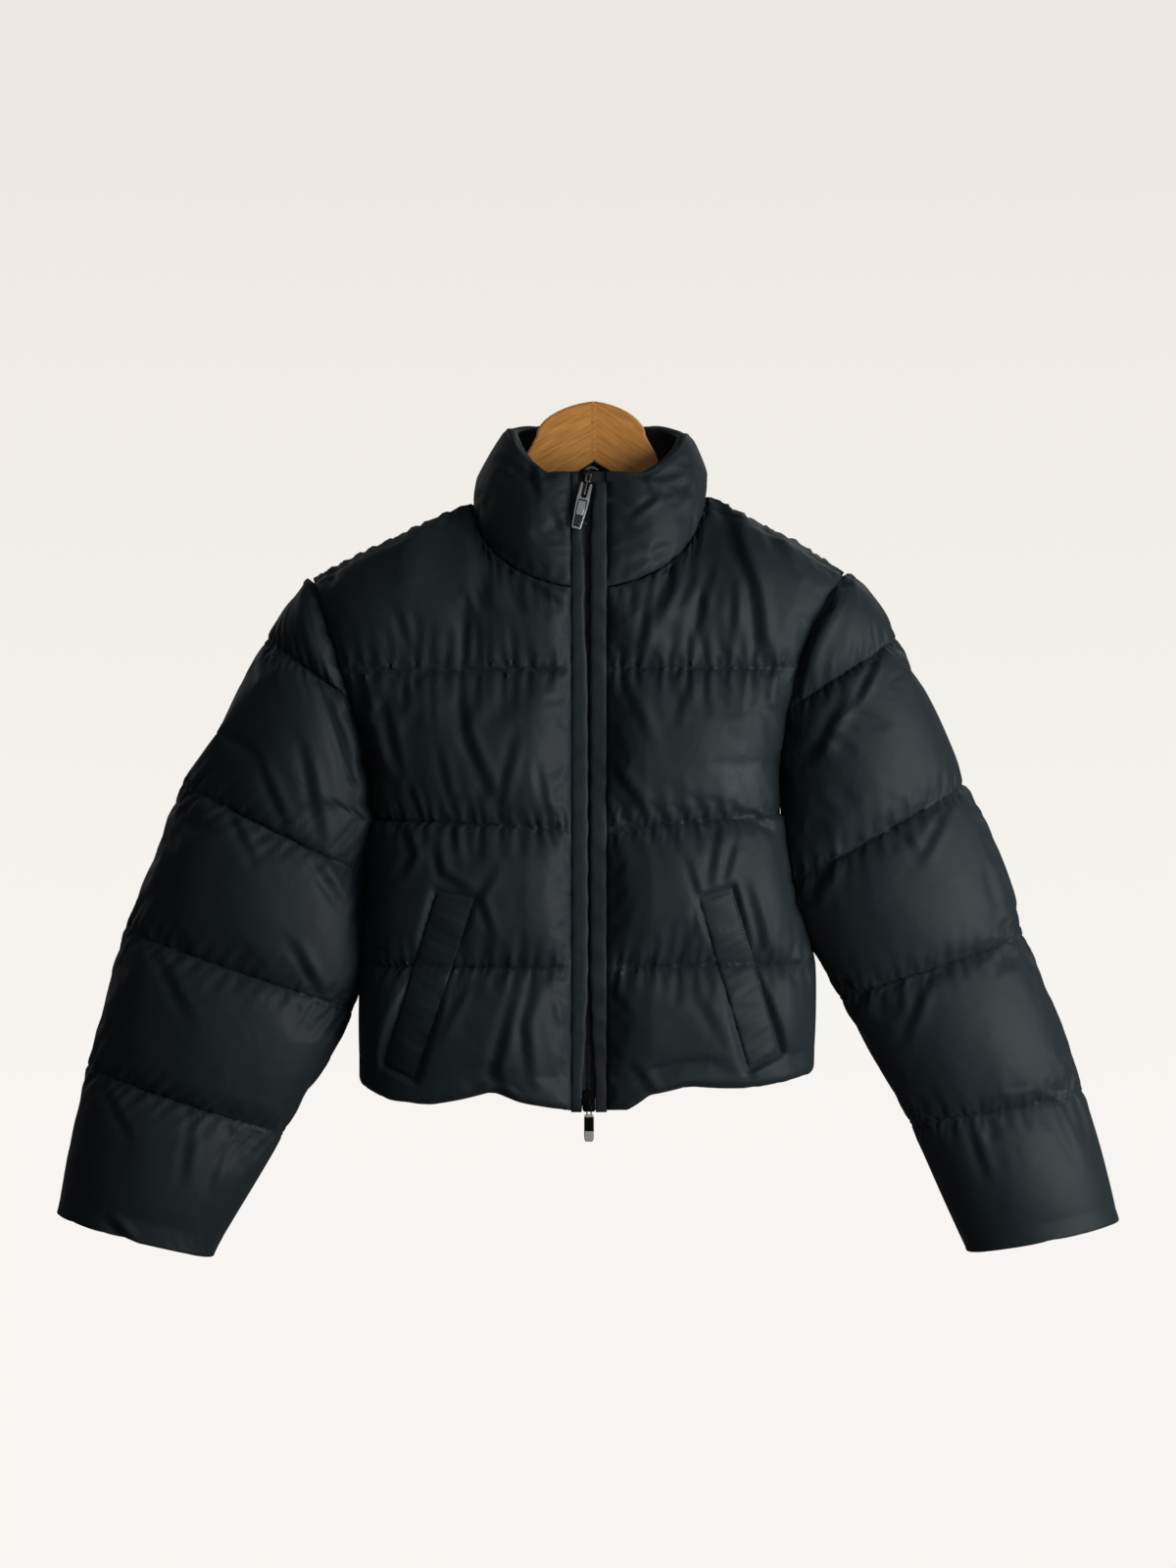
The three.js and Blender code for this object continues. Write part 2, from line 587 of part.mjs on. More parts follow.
function sleeve(side) {
  const columns = SLEEVE_COLUMNS;
  const underarm = UNDERARM_AT[side];
  const levels = [0, 1, 2, 3, 4].flatMap((k) => IN_BAFFLE.map((t) => k + t)).concat(AROUND_UNDERARM, 5);
  const own = [CAP_AT[side], underarm];
  const kept = levels.filter((at) => at > own[0] && own.every((level) => Math.abs(at - level) > ROWS_APART));
  const rows = [...kept, ...own].sort((a, b) => a - b);
  const skin = (i, j, outside) => {
    const at = rows[i];
    const seam = cutAngle(side, at, outside ? SEAM_WALL : 0);
    const angle = mix(seam, 2 * Math.PI - seam, j / columns);
    const layer = outside ? sleeveLoft(side, at, angle) : 0;
    const p = sleevePoint(side, at, j === 0 ? seam : j === columns ? -seam : angle, layer);
    return [SIDES[side] * p.x, p.y, p.z];
  };
  const lip = (j) => {
    const angle = (2 * Math.PI * (j % columns)) / columns;
    const p = sleevePoint(side, 5, angle, sleeveLoft(side, 5, angle) / 2);
    const slope = THREE.MathUtils.degToRad(column(SLEEVE_RINGS[side], "slope", 5));
    return [SIDES[side] * (p.x + HEM_LIP * Math.sin(slope)), p.y, p.z - HEM_LIP * Math.cos(slope)];
  };
  const joined = rows.indexOf(underarm);
  return wallGeometry({ rows: rows.length - 1, columns, skin, joined, lipAtEnd: lip });
}

// Collar: a padded band from the neck seam to the top edge, open at the zip.
function collarPoint(side, face, angle, up, layer) {
  const foot = neckPoint(side, face, angle, layer);
  const out = { x: COLLAR_SIDE[side].half + layer, y: COLLAR_TOP.depth + layer };
  const endZ = face === "front" ? COLLAR_TOP.frontZ : COLLAR_TOP.backZ;
  const first = neckStart(side);
  const opening = Math.asin(FRONT_EDGE / out.x);
  const round = (angle - first) / (Math.PI / 2 - first);
  const turn = face === "front" ? mix(opening, Math.PI / 2, round) : angle;
  const dip = clamp(Math.cos(turn) * COLLAR_DIP);
  const fall = face === "front" ? dip ** COLLAR_FALL : smooth(dip);
  const top = {
    x: out.x * Math.sin(turn) ** COLLAR_SQUARE,
    y: out.y * Math.cos(turn) ** COLLAR_SQUARE,
    z: mix(COLLAR_SIDE[side].z, endZ, fall),
  };
  const bow = COLLAR_BOW * Math.sin(Math.PI * up);
  const widen = COLLAR_WIDEN * layer * smooth(3 * up) * (1 - up) * Math.sin(angle);
  const bowed = mix(foot.x, top.x, up) + bow * Math.sin(angle) + widen;
  const x = face === "front" && angle <= first + 1e-9 ? FRONT_EDGE : bowed;
  const y = mix(foot.y, top.y, up) + bow * Math.cos(angle);
  return [SIDES[side] * x, (face === "front" ? -1 : 1) * y, mix(foot.z + COLLAR_LIFT, top.z, up)];
}

// The collar's wall, which swells half as much at the sides as in the middle.
function collarWall(side, face, angle, up) {
  const nearZip = face === "front" ? zipShare(neckPoint(side, face, angle, 0).x) : 1;
  const puffed = COLLAR_LOFT * swell(up) * (1 - Math.sin(angle) / 2);
  return mix(ZIP_WALL, mix(SEAM_WALL, COLLAR_TOP_WALL, smooth(up)) + puffed, nearZip);
}

function collar() {
  const heights = [0, 0.06, 0.2, 0.4, 0.6, 0.8, 0.93, 1];
  const shares = ACROSS_PANEL.filter((s) => s <= NECK_SPLIT).map((s) => s / NECK_SPLIT);
  const stops = [];
  for (const [side, face, forward] of [
    ["right", "front", true],
    ["right", "back", false],
    ["left", "back", true],
    ["left", "front", false],
  ]) {
    const begin = face === "front" ? neckStart(side) : 0;
    const run = (forward ? shares : [...shares].reverse()).map((t) => mix(begin, Math.PI / 2, t));
    if (stops.length) run.shift();
    for (const angle of run) stops.push({ side, face, angle });
  }
  const skin = (i, j, outside) => {
    const { side, face, angle } = stops[j];
    const layer = outside ? collarWall(side, face, angle, heights[i]) : 0;
    return collarPoint(side, face, angle, heights[i], layer);
  };
  const lip = (j) => {
    const { side, face, angle } = stops[j];
    const p = collarPoint(side, face, angle, 1, collarWall(side, face, angle, 1) / 2);
    return [p[0], p[1], p[2] + COLLAR_LIP];
  };
  return wallGeometry({ rows: heights.length - 1, columns: stops.length - 1, skin, lipAtEnd: lip });
}

// Depth of the front edge at a height: the line that the zip follows.
function zipLine(z) {
  const neckZ = neckPoint("right", "front", neckStart("right"), 0).z;
  if (z > neckZ) {
    const up = clamp((z - neckZ) / (COLLAR_TOP.frontZ - neckZ));
    return collarPoint("right", "front", neckStart("right"), up, 0)[1];
  }
  const row = solve((r) => panelPoint("right", "front", 0, r, 0, FRONT_EDGE)[2] - z, 0, 4);
  return panelPoint("right", "front", 0, row, 0, FRONT_EDGE)[1];
}

// A strip along the zip: inner and outer edges across the width, back and front faces in depth.
function zipStrip(side, { inner, outer, back, front, top = ZIP_TOP }) {
  const neckZ = neckPoint("right", "front", neckStart("right"), 0).z;
  const rows = STRIP_ROWS.collar + STRIP_ROWS.front;
  const skin = (i, j, outside) => {
    const below = Math.max(0, i - STRIP_ROWS.collar) / STRIP_ROWS.front;
    const above = Math.min(1, i / STRIP_ROWS.collar);
    const z = below > 0 ? mix(neckZ, ZIP_BOTTOM, below) : mix(top, neckZ, above);
    const x = j === 0 ? inner(z) : outer(z);
    return [SIDES[side] * x, zipLine(z) - (outside ? front : back), z];
  };
  return wallGeometry({ rows, columns: 1, skin });
}

const zipTape = (side) =>
  zipStrip(side, { inner: () => TAPE.from, outer: () => TAPE.to, back: TAPE.back, front: TAPE.front });
const zipChain = () => {
  const { half, back, front } = CHAIN;
  return zipStrip("left", { inner: () => -half, outer: () => half, back, front });
};
const zipGuard = (side) =>
  zipStrip(side, {
    inner: (z) => lookup(GUARD_EDGE, "z", side, z),
    outer: () => GUARD.to,
    back: GUARD.back,
    front: GUARD.front,
    top: GUARD_TOP[side],
  });

// How far the zip leans back from upright over a stretch of it.
const zipLean = (top, length) => Math.atan2(zipLine(top) - zipLine(top - length), length);

// Slider: a tapered body over the chain and the arch of its bail, joined into one solid. Its own
// frame has the zip line at y = 0 and the pull's axis at z = 0.
function slider(pivot) {
  const outline = new THREE.Shape();
  const [half, tall] = [SLIDER.half, SLIDER.height / 2];
  SLIDER_CORNERS.forEach(([x, z], k) => {
    if (k === 0) outline.moveTo(half * x, tall * z - pivot);
    else outline.lineTo(half * x, tall * z - pivot);
  });
  const body = new THREE.ExtrudeGeometry(outline, { depth: SLIDER.front - SLIDER.back, bevelEnabled: false });
  body.rotateX(Math.PI / 2);
  body.translate(0, -SLIDER.back, 0);
  const { half: bar, post, under, over, inside, outside } = BAIL;
  const rooted = SLIDER.front - 1;
  const arch = new THREE.Shape();
  const route = [
    [rooted, under],
    [outside, under],
    [outside, over],
    [rooted, over],
    [rooted, over - post],
    [inside, over - post],
    [inside, under + post],
    [rooted, under + post],
  ];
  route.forEach(([y, z], k) => (k === 0 ? arch.moveTo(y, z) : arch.lineTo(y, z)));
  const loop = new THREE.ExtrudeGeometry(arch, { depth: 2 * bar, bevelEnabled: false });
  loop.translate(0, 0, -bar);
  loop.applyMatrix4(new THREE.Matrix4().set(0, 0, -1, 0, -1, 0, 0, 0, 0, 1, 0, 0, 0, 0, 0, 1));
  return join(body, loop);
}

// Pull tab: a tapered plate that hangs on the bail by the eye below its axis.
function pull({ length, eyeHalf, endHalf }) {
  const plate = new THREE.Shape();
  plate.moveTo(-eyeHalf + 1, EYE.bridge);
  plate.lineTo(eyeHalf - 1, EYE.bridge);
  plate.lineTo(eyeHalf, EYE.bridge - 1);
  plate.absarc(0, endHalf - length, endHalf, 0, -Math.PI, true);
  plate.lineTo(-eyeHalf, EYE.bridge - 1);
  plate.closePath();
  const eye = new THREE.Path();
  for (let k = 0; k < EYE.corners; k += 1) {
    const turn = (2 * Math.PI * k) / EYE.corners;
    const [x, z] = [EYE.radius * Math.cos(turn), EYE.radius * Math.sin(turn) - EYE.below];
    if (k === 0) eye.moveTo(x, z);
    else eye.lineTo(x, z);
  }
  plate.holes.push(eye);
  const geometry = new THREE.ExtrudeGeometry(plate, {
    depth: PULL_THICKNESS,
    bevelEnabled: false,
    curveSegments: 8,
  });
  geometry.rotateX(Math.PI / 2);
  geometry.translate(0, PULL_THICKNESS / 2, 0);
  return geometry;
}

// Pocket welt: a padded strip laid on the front panel, made from the panel's own points.
function welt(side) {
  const { topIn, topOut, endIn, endOut } = WELT[side];
  const { rows, columns } = WELT_GRID;
  const onPanel = (x, z, lift) => {
    const away = Math.abs(x);
    const share = (row) => {
      const edge = panelPoint(side, "front", 1, row, SEAM_WALL, FRONT_EDGE);
      return (away - FRONT_EDGE) / (Math.abs(edge[0]) - FRONT_EDGE);
    };
    const row = solve((r) => panelPoint(side, "front", share(r), r, 0, FRONT_EDGE)[2] - z, 0, 2);
    const s = share(row);
    const p = panelPoint(side, "front", s, row, panelWall(side, "front", s, row) + lift, FRONT_EDGE);
    return [p[0], p[1], z];
  };
  const skin = (i, j, outside) => {
    const [down, across] = [i / rows, j / columns];
    const x = mix(mix(topIn[0], topOut[0], across), mix(endIn[0], endOut[0], across), down);
    const z = mix(mix(topIn[1], topOut[1], across), mix(endIn[1], endOut[1], across), down);
    return onPanel(x, z, WELT_LIFT + (outside ? WELT_THICKNESS : 0));
  };
  return wallGeometry({ rows, columns, skin });
}

// Hanger half: a round head, an arm that follows the shoulder, and half of the notch under it.
function hangerHalf(side) {
  const mark = SIDES[side];
  const { middle, thickness, bevel, head, headTop, headSide, notch, notchFoot } = HANGER;
  const reach = head[side] - bevel;
  const inset = SEAM_GAP / 2 + bevel;
  const outline = new THREE.Shape();
  const to = (x, z) => outline.lineTo(x, z);
  const along = ({ x, below }) => {
    const shoulder = lookup(SHOULDER[side], "x", "z", x) - SEAM_WALL - ARM_CLEAR[side] - bevel;
    to(mark * x, shoulder - below);
  };
  outline.moveTo(middle + mark * inset, headTop - bevel);
  for (let k = 1; k <= HANGER.headSteps; k += 1) {
    const turn = (k / HANGER.headSteps) * (Math.PI / 2);
    const out = Math.max(reach * Math.sin(turn) ** HANGER.headPower, inset);
    to(middle + mark * out, mix(headSide, headTop - bevel, Math.cos(turn)));
  }
  for (const { out, below } of HANGER_WAIST) to(middle + mark * (reach + out), headSide - below);
  HANGER_TOP.forEach(along);
  HANGER_UNDER.forEach(along);
  to(middle + mark * notchFoot.out, notch - notchFoot.below);
  to(middle + mark * inset, notch);
  outline.closePath();
  const geometry = new THREE.ExtrudeGeometry(outline, {
    depth: thickness - 2 * bevel,
    bevelEnabled: true,
    bevelThickness: bevel,
    bevelSize: bevel,
    bevelSegments: 2,
  });
  geometry.rotateX(Math.PI / 2);
  geometry.translate(0, thickness / 2 - bevel, 0);
  return geometry;
}

// Materials
const shell = new THREE.MeshStandardMaterial({ color: 0x1d2326, roughness: 0.5, metalness: 0 });
const trim = new THREE.MeshStandardMaterial({ color: 0x121416, roughness: 0.6, metalness: 0 });
const nickel = new THREE.MeshStandardMaterial({ color: 0x9a9c9e, roughness: 0.35, metalness: 1 });
const black = new THREE.MeshStandardMaterial({ color: 0x0c0d0e, roughness: 0.25, metalness: 0.8 });
const wood = new THREE.MeshStandardMaterial({ color: 0xb9823f, roughness: 0.5, metalness: 0 });

const jacket = new THREE.Group();
function piece(name, geometry, material) {
  const mesh = new THREE.Mesh(geometry, material);
  mesh.name = name;
  jacket.add(mesh);
  return mesh;
}

for (const side of Object.keys(SIDES)) {
  piece("front_" + side, frontPanel(side), shell);
  piece("sleeve_" + side, sleeve(side), shell);
  piece("pocket_welt_" + side, welt(side), shell);
  piece("zip_guard_" + side, zipGuard(side), shell);
  piece("zip_tape_" + side, zipTape(side), trim);
  piece("hanger_" + side, hangerHalf(side), wood);
}
piece("back", backPanel(), shell);
piece("collar", collar(), shell);
piece("zip_chain", zipChain(), black);
for (const [name, { z, pivot, lean, hang, ...shape }] of Object.entries(SLIDERS)) {
  const metal = name === "top" ? nickel : black;
  const tilt = zipLean(z + SLIDER.height / 2, SLIDER.height);
  const axis = [0, zipLine(z + pivot) - PULL_PLANE * Math.cos(tilt), z + pivot + PULL_PLANE * Math.sin(tilt)];
  const body = piece("slider_" + name, slider(pivot), metal);
  body.position.set(0, zipLine(z + pivot), z + pivot);
  body.rotation.x = -tilt;
  const tab = piece("pull_" + name, pull(shape), metal);
  tab.position.set(...axis);
  tab.rotation.order = "XYZ";
  tab.rotation.x = -hang;
  tab.rotation.y = THREE.MathUtils.degToRad(lean);
}

export default jacket;
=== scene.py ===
# %% [markdown]
# # A cropped puffer jacket on a wooden hanger
# This lesson dresses a rigid model of the jacket, the frame, in cloth, filling, thread, metal and wood.
# Lengths are written in millimetres and become metres when a mesh is made. +X is the wearer's left,
# -Y the front, +Z up, and the origin is the crown of the hanger's round head.

import math

import bmesh
import bpy
import numpy as np
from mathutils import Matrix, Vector


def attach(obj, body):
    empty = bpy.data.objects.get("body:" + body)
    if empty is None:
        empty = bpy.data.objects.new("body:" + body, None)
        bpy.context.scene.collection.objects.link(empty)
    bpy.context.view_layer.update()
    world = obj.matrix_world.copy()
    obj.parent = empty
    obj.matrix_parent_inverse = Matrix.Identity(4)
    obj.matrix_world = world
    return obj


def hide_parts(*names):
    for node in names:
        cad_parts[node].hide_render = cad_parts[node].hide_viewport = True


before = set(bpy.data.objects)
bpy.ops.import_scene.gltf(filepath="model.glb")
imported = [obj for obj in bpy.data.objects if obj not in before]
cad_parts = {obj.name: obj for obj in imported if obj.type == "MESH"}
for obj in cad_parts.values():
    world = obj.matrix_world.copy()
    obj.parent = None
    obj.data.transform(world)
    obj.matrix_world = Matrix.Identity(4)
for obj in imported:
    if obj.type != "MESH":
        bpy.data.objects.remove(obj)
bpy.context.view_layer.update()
MM = 0.001
rng = np.random.default_rng(7)

# %% [markdown]
# ## The sizes of the cut
# Every quilted piece is a wall with a plain inside. Its outside is thin on the sewn lines and swells
# between them. These tables are the ones that the rigid model was made from, so the cloth follows it.

# %% Tables of the cut
SEAM_WALL, FACE_LOFT, SIDE_LOFT, SIDE_RAMP = 6.0, 15.0, 2.0, 45.0
ARMHOLE_GAP, SEAM_GAP, FRONT_EDGE, ZIP_WALL, ZIP_RAMP = -1.0, 0.1, 15.0, 4.0, 34.0
ROUNDNESS, ARM_RAMP, ROOF_FROM, NECK_SPLIT, HEM_LIP, CUFF_LIP = 2.5, 22.0, 0.45, 0.46, 7.0, 2.5
SIDES = {"right": -1, "left": 1}
BODY = {
    "zip": [-602, -488, -370, -234],
    "rightZ": [-586, -488, -361, -234],
    "leftZ": [-578, -484, -357, -232],
    "right": [198, 198, 191, 214],
    "left": [194, 196, 170, 176],
    "front": [50, 55, 57, 53],
    "back": [46, 50, 52, 50],
}
HEM_X = [-197, -173, -137, -82, -55, -14, 33, 52, 84, 135, 169, 193]
HEM_Z = [-584, -595, -599, -589, -597, -604, -603, -592, -585, -585, -580, -574]
ARMHOLE_Z = {
    "right": [-150, -175, -214, -268, -303, -339, -380],
    "left": [-148, -171, -195, -229, -268, -315, -380],
}
ARMHOLE_X = {"right": [240, 231, 219, 203, 194, 188, 184], "left": [221, 205, 192, 180, 171, 166, 165]}
SHOULDER_X = {"right": [105, 127, 180, 240], "left": [108, 131, 178, 221]}
SHOULDER_Z = {"right": [-89, -98, -123, -153], "left": [-83, -97, -121, -148]}
NECK = {"right": (98, -89, 75.9, 14), "left": (98, -83, 81.9, 20)}  # half width, height, drops to front and back
NECK_DEPTH = {"front": 60, "back": 50}
COLLAR_SIDE = {"right": (62, -26), "left": (77, -30)}  # half width and height of the top edge
COLLAR_END = {"front": -67, "back": -20}
SLEEVE = {
    "right": {
        "x": [241, 278, 352, 402, 434, 459],
        "z": [-152, -206, -331, -457, -576, -701],
        "slope": [30, 36, 26.6, 19.3, 18.8, 11],
        "width": [118, 132, 181, 209, 178, 137],
        "depth": [38, 42, 44, 44, 42, 40],
        "loft": [3, 1, 0, 1, 2],
        "sag": 11,
    },
    "left": {
        "x": [222, 265, 323, 375, 427, 458],
        "z": [-147, -206, -332, -462, -597, -707],
        "slope": [15, 33.8, 30.2, 18.8, 10, 11.7],
        "width": [110, 126, 173, 166, 151, 132],
        "depth": [38, 42, 44, 44, 42, 40],
        "loft": [5, 7, 9, 5, 1],
        "sag": 0,
    },
}


# %% [markdown]
# ## Small tools for numbers
# `curve` reads a table along a smooth line through its rows, and `swell` is the profile of a baffle.

# %% Number tools
def mix(a, b, t):
    return a + (b - a) * t


def smooth(t):
    t = np.clip(t, 0, 1)
    return t * t * (3 - 2 * t)


def swell(t):
    return (1 - (2 * np.clip(t, 0, 1) - 1) ** 2) ** 0.62


def rounded_box(s):
    return np.maximum(0, 1 - np.clip(s, 0, 1) ** ROUNDNESS) ** (1 / ROUNDNESS)


def curve(values, at):
    v = np.asarray(values, float)
    at = np.asarray(at, float)
    i = np.clip(np.floor(at).astype(int), 0, len(v) - 2)
    t = at - i
    a, b, c, d = (v[np.clip(i + k, 0, len(v) - 1)] for k in (-1, 0, 1, 2))
    return 0.5 * (2 * b + (c - a) * t + (2 * a - 5 * b + 4 * c - d) * t * t + (3 * b - 3 * c + d - a) * t**3)


def falling(zs, values, z):
    return np.interp(-np.asarray(z, float), -np.asarray(zs, float), values)


def solve(f, low, high):
    a, b = np.array(low, float), np.array(high, float)
    for _ in range(36):
        middle = (a + b) / 2
        below = f(middle) < 0
        a, b = np.where(below, middle, a), np.where(below, b, middle)
    return (a + b) / 2


# %% [markdown]
# ## The sleeves as rings
# A ring is an oval across the sleeve. Angle 0 is on the side of the body, and `layer` is the height
# above the plain inside. Above the underarm a ring is cut off where it meets the armhole seam.

# %% Sleeve surface
def sleeve_point(side, at, angle, layer):
    table = SLEEVE[side]
    slope = np.radians(curve(table["slope"], at))
    half = curve(table["width"], at) / 2
    along = (half - SEAM_WALL + layer) * np.cos(angle)
    deep = curve(table["depth"], at) - SEAM_WALL + layer
    sag = table["sag"] * np.clip(at - 4, 0, 1) ** 2 * (0.5 + 0.5 * np.cos(angle))
    x = curve(table["x"], at) - half * np.cos(slope) - along * np.cos(slope) + sag * np.sin(slope)
    z = curve(table["z"], at) - half * np.sin(slope) - along * np.sin(slope) - sag * np.cos(slope)
    return x, -deep * np.sin(angle), z


def armhole_x(side, z):
    return falling(ARMHOLE_Z[side], ARMHOLE_X[side], z)


def past_armhole(side, at, angle, layer):
    x, _, z = sleeve_point(side, at, angle, layer)
    return x - armhole_x(side, z)


UNDERARM_AT = {s: float(solve(lambda t: past_armhole(s, t, 0, SEAM_WALL), 1, 2)) for s in SIDES}
CAP_AT = {s: float(solve(lambda t: past_armhole(s, t, math.pi, 0) - 0.5, 0, 1)) for s in SIDES}


def armhole_angle(side, at, layer):
    at = np.asarray(at, float)
    beyond = lambda angle: past_armhole(side, at, angle, layer) - ARMHOLE_GAP / 2
    found = solve(beyond, np.zeros_like(at), np.full_like(at, math.pi))
    return np.where((at >= UNDERARM_AT[side] - 1e-6) | (beyond(np.zeros_like(at)) > 0), 0, found)


def cut_angle(side, at, layer):
    return np.maximum(armhole_angle(side, at, layer), 0.4 * armhole_angle(side, at, SEAM_WALL))


def sleeve_wall(side, at, angle):
    turned = np.minimum(angle, 2 * np.pi - angle)
    away = np.maximum(0, turned - armhole_angle(side, at, SEAM_WALL)) * 60
    fade = mix(np.sqrt(np.clip(away / ARM_RAMP, 0, 1)), 1, smooth((at - UNDERARM_AT[side]) / 0.35))
    outline = np.where(np.cos(turned) < 0, SLEEVE[side]["loft"][min(int(at), 4)], SIDE_LOFT)
    around = mix(outline, FACE_LOFT, np.sin(turned) ** 2)
    between = max(swell(at - 4), 0.75 if at > 4.5 else 0) if at > 4 else swell(at % 1)
    return SEAM_WALL + around * between * fade


# %% [markdown]
# ## The body panels and the collar
# `s` runs from the middle to the side or the armhole. The row runs from the hem, 0, to the top quilting
# line, 3, and on to the neck and shoulder seams, 4.

# %% Body and collar surfaces
def armhole_section(side, layer):
    at = np.linspace(CAP_AT[side], UNDERARM_AT[side], 61)
    _, y, z = sleeve_point(side, at, cut_angle(side, at, layer), layer)
    y = np.maximum(SEAM_GAP / 2, -y)
    edge = [SEAM_GAP / 2]
    return np.concatenate([[z[0] + 1.5], z, [z[-1] - 1]]), np.concatenate([edge, y, edge])


SECTIONS = {side: [armhole_section(side, layer) for layer in (0, SEAM_WALL)] for side in SIDES}


def armhole_depth(side, z, layer):
    inner, outer = (falling(*section, z) for section in SECTIONS[side])
    return mix(inner, outer, np.clip(layer / SEAM_WALL, 0, 1))


def neck_start(side):
    return math.asin(FRONT_EDGE / NECK[side][0])


def neck_point(side, face, angle, layer):
    half, z, front_drop, back_drop = NECK[side]
    drop = front_drop if face == "front" else back_drop
    x = (half + 0.35 * layer) * np.sin(angle)
    return x, (NECK_DEPTH[face] + layer) * np.cos(angle), z - drop * np.cos(angle)


def row_height(side, row, share, x):
    k = int(row)
    height = lambda i: mix(BODY["zip"][i], BODY[side + "Z"][i], share)
    low = np.interp(SIDES[side] * x, HEM_X, HEM_Z) if row < 1 else height(k)
    return mix(low, height(min(3, k + 1)), row - k)


def panel_point(side, face, s, row, layer, middle):
    front = -1 if face == "front" else 1
    across = rounded_box(s)
    if row <= 3:
        at = min(row, 2.9999)
        edge_z = row_height(side, at, 1, BODY[side][0])
        i = min(1, int(at))
        up = min(1, at - i)
        width = mix(BODY[side][i + 1], BODY[side][i], (1 - up) ** 1.5 if i == 1 else 1 - up)
        seamed = armhole_x(side, edge_z) - ARMHOLE_GAP / 2
        edge = mix(width - SEAM_WALL + layer, seamed, smooth((row - 1.97) / 0.03) if row <= 2 else 1)
        x = mix(middle, edge, s)
        side_y = SEAM_GAP / 2 if row <= 2 else armhole_depth(side, edge_z, layer)
        y = mix(side_y, curve(BODY[face], at) + layer, across)
        return np.stack([SIDES[side] * x, front * y, row_height(side, at, s, x)], -1)
    rise = row - 3
    angle = mix(neck_start(side) if middle > 0 else 0, np.pi / 2, np.clip(s / NECK_SPLIT, 0, 1))
    beyond = np.clip((s - NECK_SPLIT) / (1 - NECK_SPLIT), 0, 1)
    upward = mix(1 - rise**2, rounded_box(rise), smooth(beyond / ROOF_FROM))
    neck_x, neck_y, neck_z = neck_point(side, face, angle, layer)
    tip_x, tip_z = SHOULDER_X[side][-1], SHOULDER_Z[side][-1]
    top_x = mix(neck_x, tip_x - SEAM_GAP / 2, beyond)
    sunk = (SEAM_WALL - layer) * smooth((angle - 1) / (math.pi / 2 - 1))
    top_z = np.where(beyond > 0, np.interp(top_x, SHOULDER_X[side], SHOULDER_Z[side]), neck_z) - sunk
    edge_z = mix(BODY[side + "Z"][3], tip_z - sunk, rise)
    edge = armhole_x(side, edge_z) - ARMHOLE_GAP / 2
    top_share = (top_x - middle) / (tip_x - SEAM_GAP / 2 - middle)
    x = mix(middle, edge, mix(s, top_share, rise))
    z = mix(row_height(side, 2.9999, s, x), top_z, rise)
    top = np.where(beyond > 0, SEAM_GAP / 2, np.maximum(SEAM_GAP / 2, neck_y))
    y = armhole_depth(side, edge_z, layer) * (1 - across) * (rise < 1)
    y = y + (curve(BODY[face], 3) + layer) * across * upward + top * (1 - upward)
    return np.stack([SIDES[side] * x, front * np.maximum(SEAM_GAP / 2, y), z], -1)


def zip_share(x):
    return np.sqrt(np.clip((x - FRONT_EDGE) / ZIP_RAMP, 0, 1))


def panel_wall(side, face, s, row):
    half = curve(BODY[side], min(row, 3))
    x = np.abs(panel_point(side, face, s, row, 0 * s, FRONT_EDGE if face == "front" else 0)[..., 0])
    near_zip = zip_share(x) if face == "front" else 1
    from_side = (1 - s) * half
    pulled_in = np.sqrt(np.clip(from_side / ARM_RAMP, 0, 1))
    near_side = pulled_in if row > 2 else mix(SIDE_LOFT / FACE_LOFT, 1, smooth(from_side / SIDE_RAMP))
    between = max(swell(row), 0.7) if row < 0.5 else swell(row - 3 if row > 3 else row % 1)
    base = mix(ZIP_WALL, SEAM_WALL, near_zip) if face == "front" else SEAM_WALL
    return base + FACE_LOFT * (0.75 if row > 3 else 1) * between * near_zip * near_side


def collar_point(side, face, angle, up, layer):
    foot_x, foot_y, foot_z = neck_point(side, face, angle, layer)
    half, side_z = COLLAR_SIDE[side]
    first = neck_start(side)
    opening = np.arcsin(FRONT_EDGE / (half + layer))
    turn = mix(opening, np.pi / 2, (angle - first) / (np.pi / 2 - first)) if face == "front" else angle
    top_x = (half + layer) * np.sin(turn) ** 0.85
    top_y = (45 + layer) * np.clip(np.cos(turn), 0, 1) ** 0.85
    dip = np.clip(np.cos(turn) * 1.15, 0, 1)
    top_z = mix(side_z, COLLAR_END[face], dip**1.5 if face == "front" else smooth(dip))
    bow = np.sin(np.pi * up)
    widen = 0.5 * layer * smooth(3 * up) * (1 - up) * np.sin(angle)
    x = mix(foot_x, top_x, up) + bow * np.sin(angle) + widen
    if face == "front":
        x = np.where(angle <= first + 1e-9, FRONT_EDGE, x)
    y = mix(foot_y, top_y, up) + bow * np.cos(angle)
    return np.stack([SIDES[side] * x, (-1 if face == "front" else 1) * y, mix(foot_z + 1.2, top_z, up)], -1)


def collar_wall(side, face, angle, up):
    near_zip = zip_share(neck_point(side, face, angle, 0)[0]) if face == "front" else 1
    puffed = 9 * swell(up) * (1 - np.sin(angle) / 2)
    return mix(ZIP_WALL, mix(SEAM_WALL, 9, smooth(up)) + puffed, near_zip)


ROWS_IN_ZIP = np.linspace(0, 4, 400)
ZIP_POINTS = np.array([panel_point("right", "front", np.zeros(1), r, np.zeros(1), FRONT_EDGE)[0] for r in ROWS_IN_ZIP])
COLLAR_POINTS = np.array(
    [collar_point("right", "front", np.array([neck_start("right")]), u, np.zeros(1))[0] for u in np.linspace(0.02, 1, 40)]
)
ZIP_PATH = np.concatenate([ZIP_POINTS, COLLAR_POINTS])


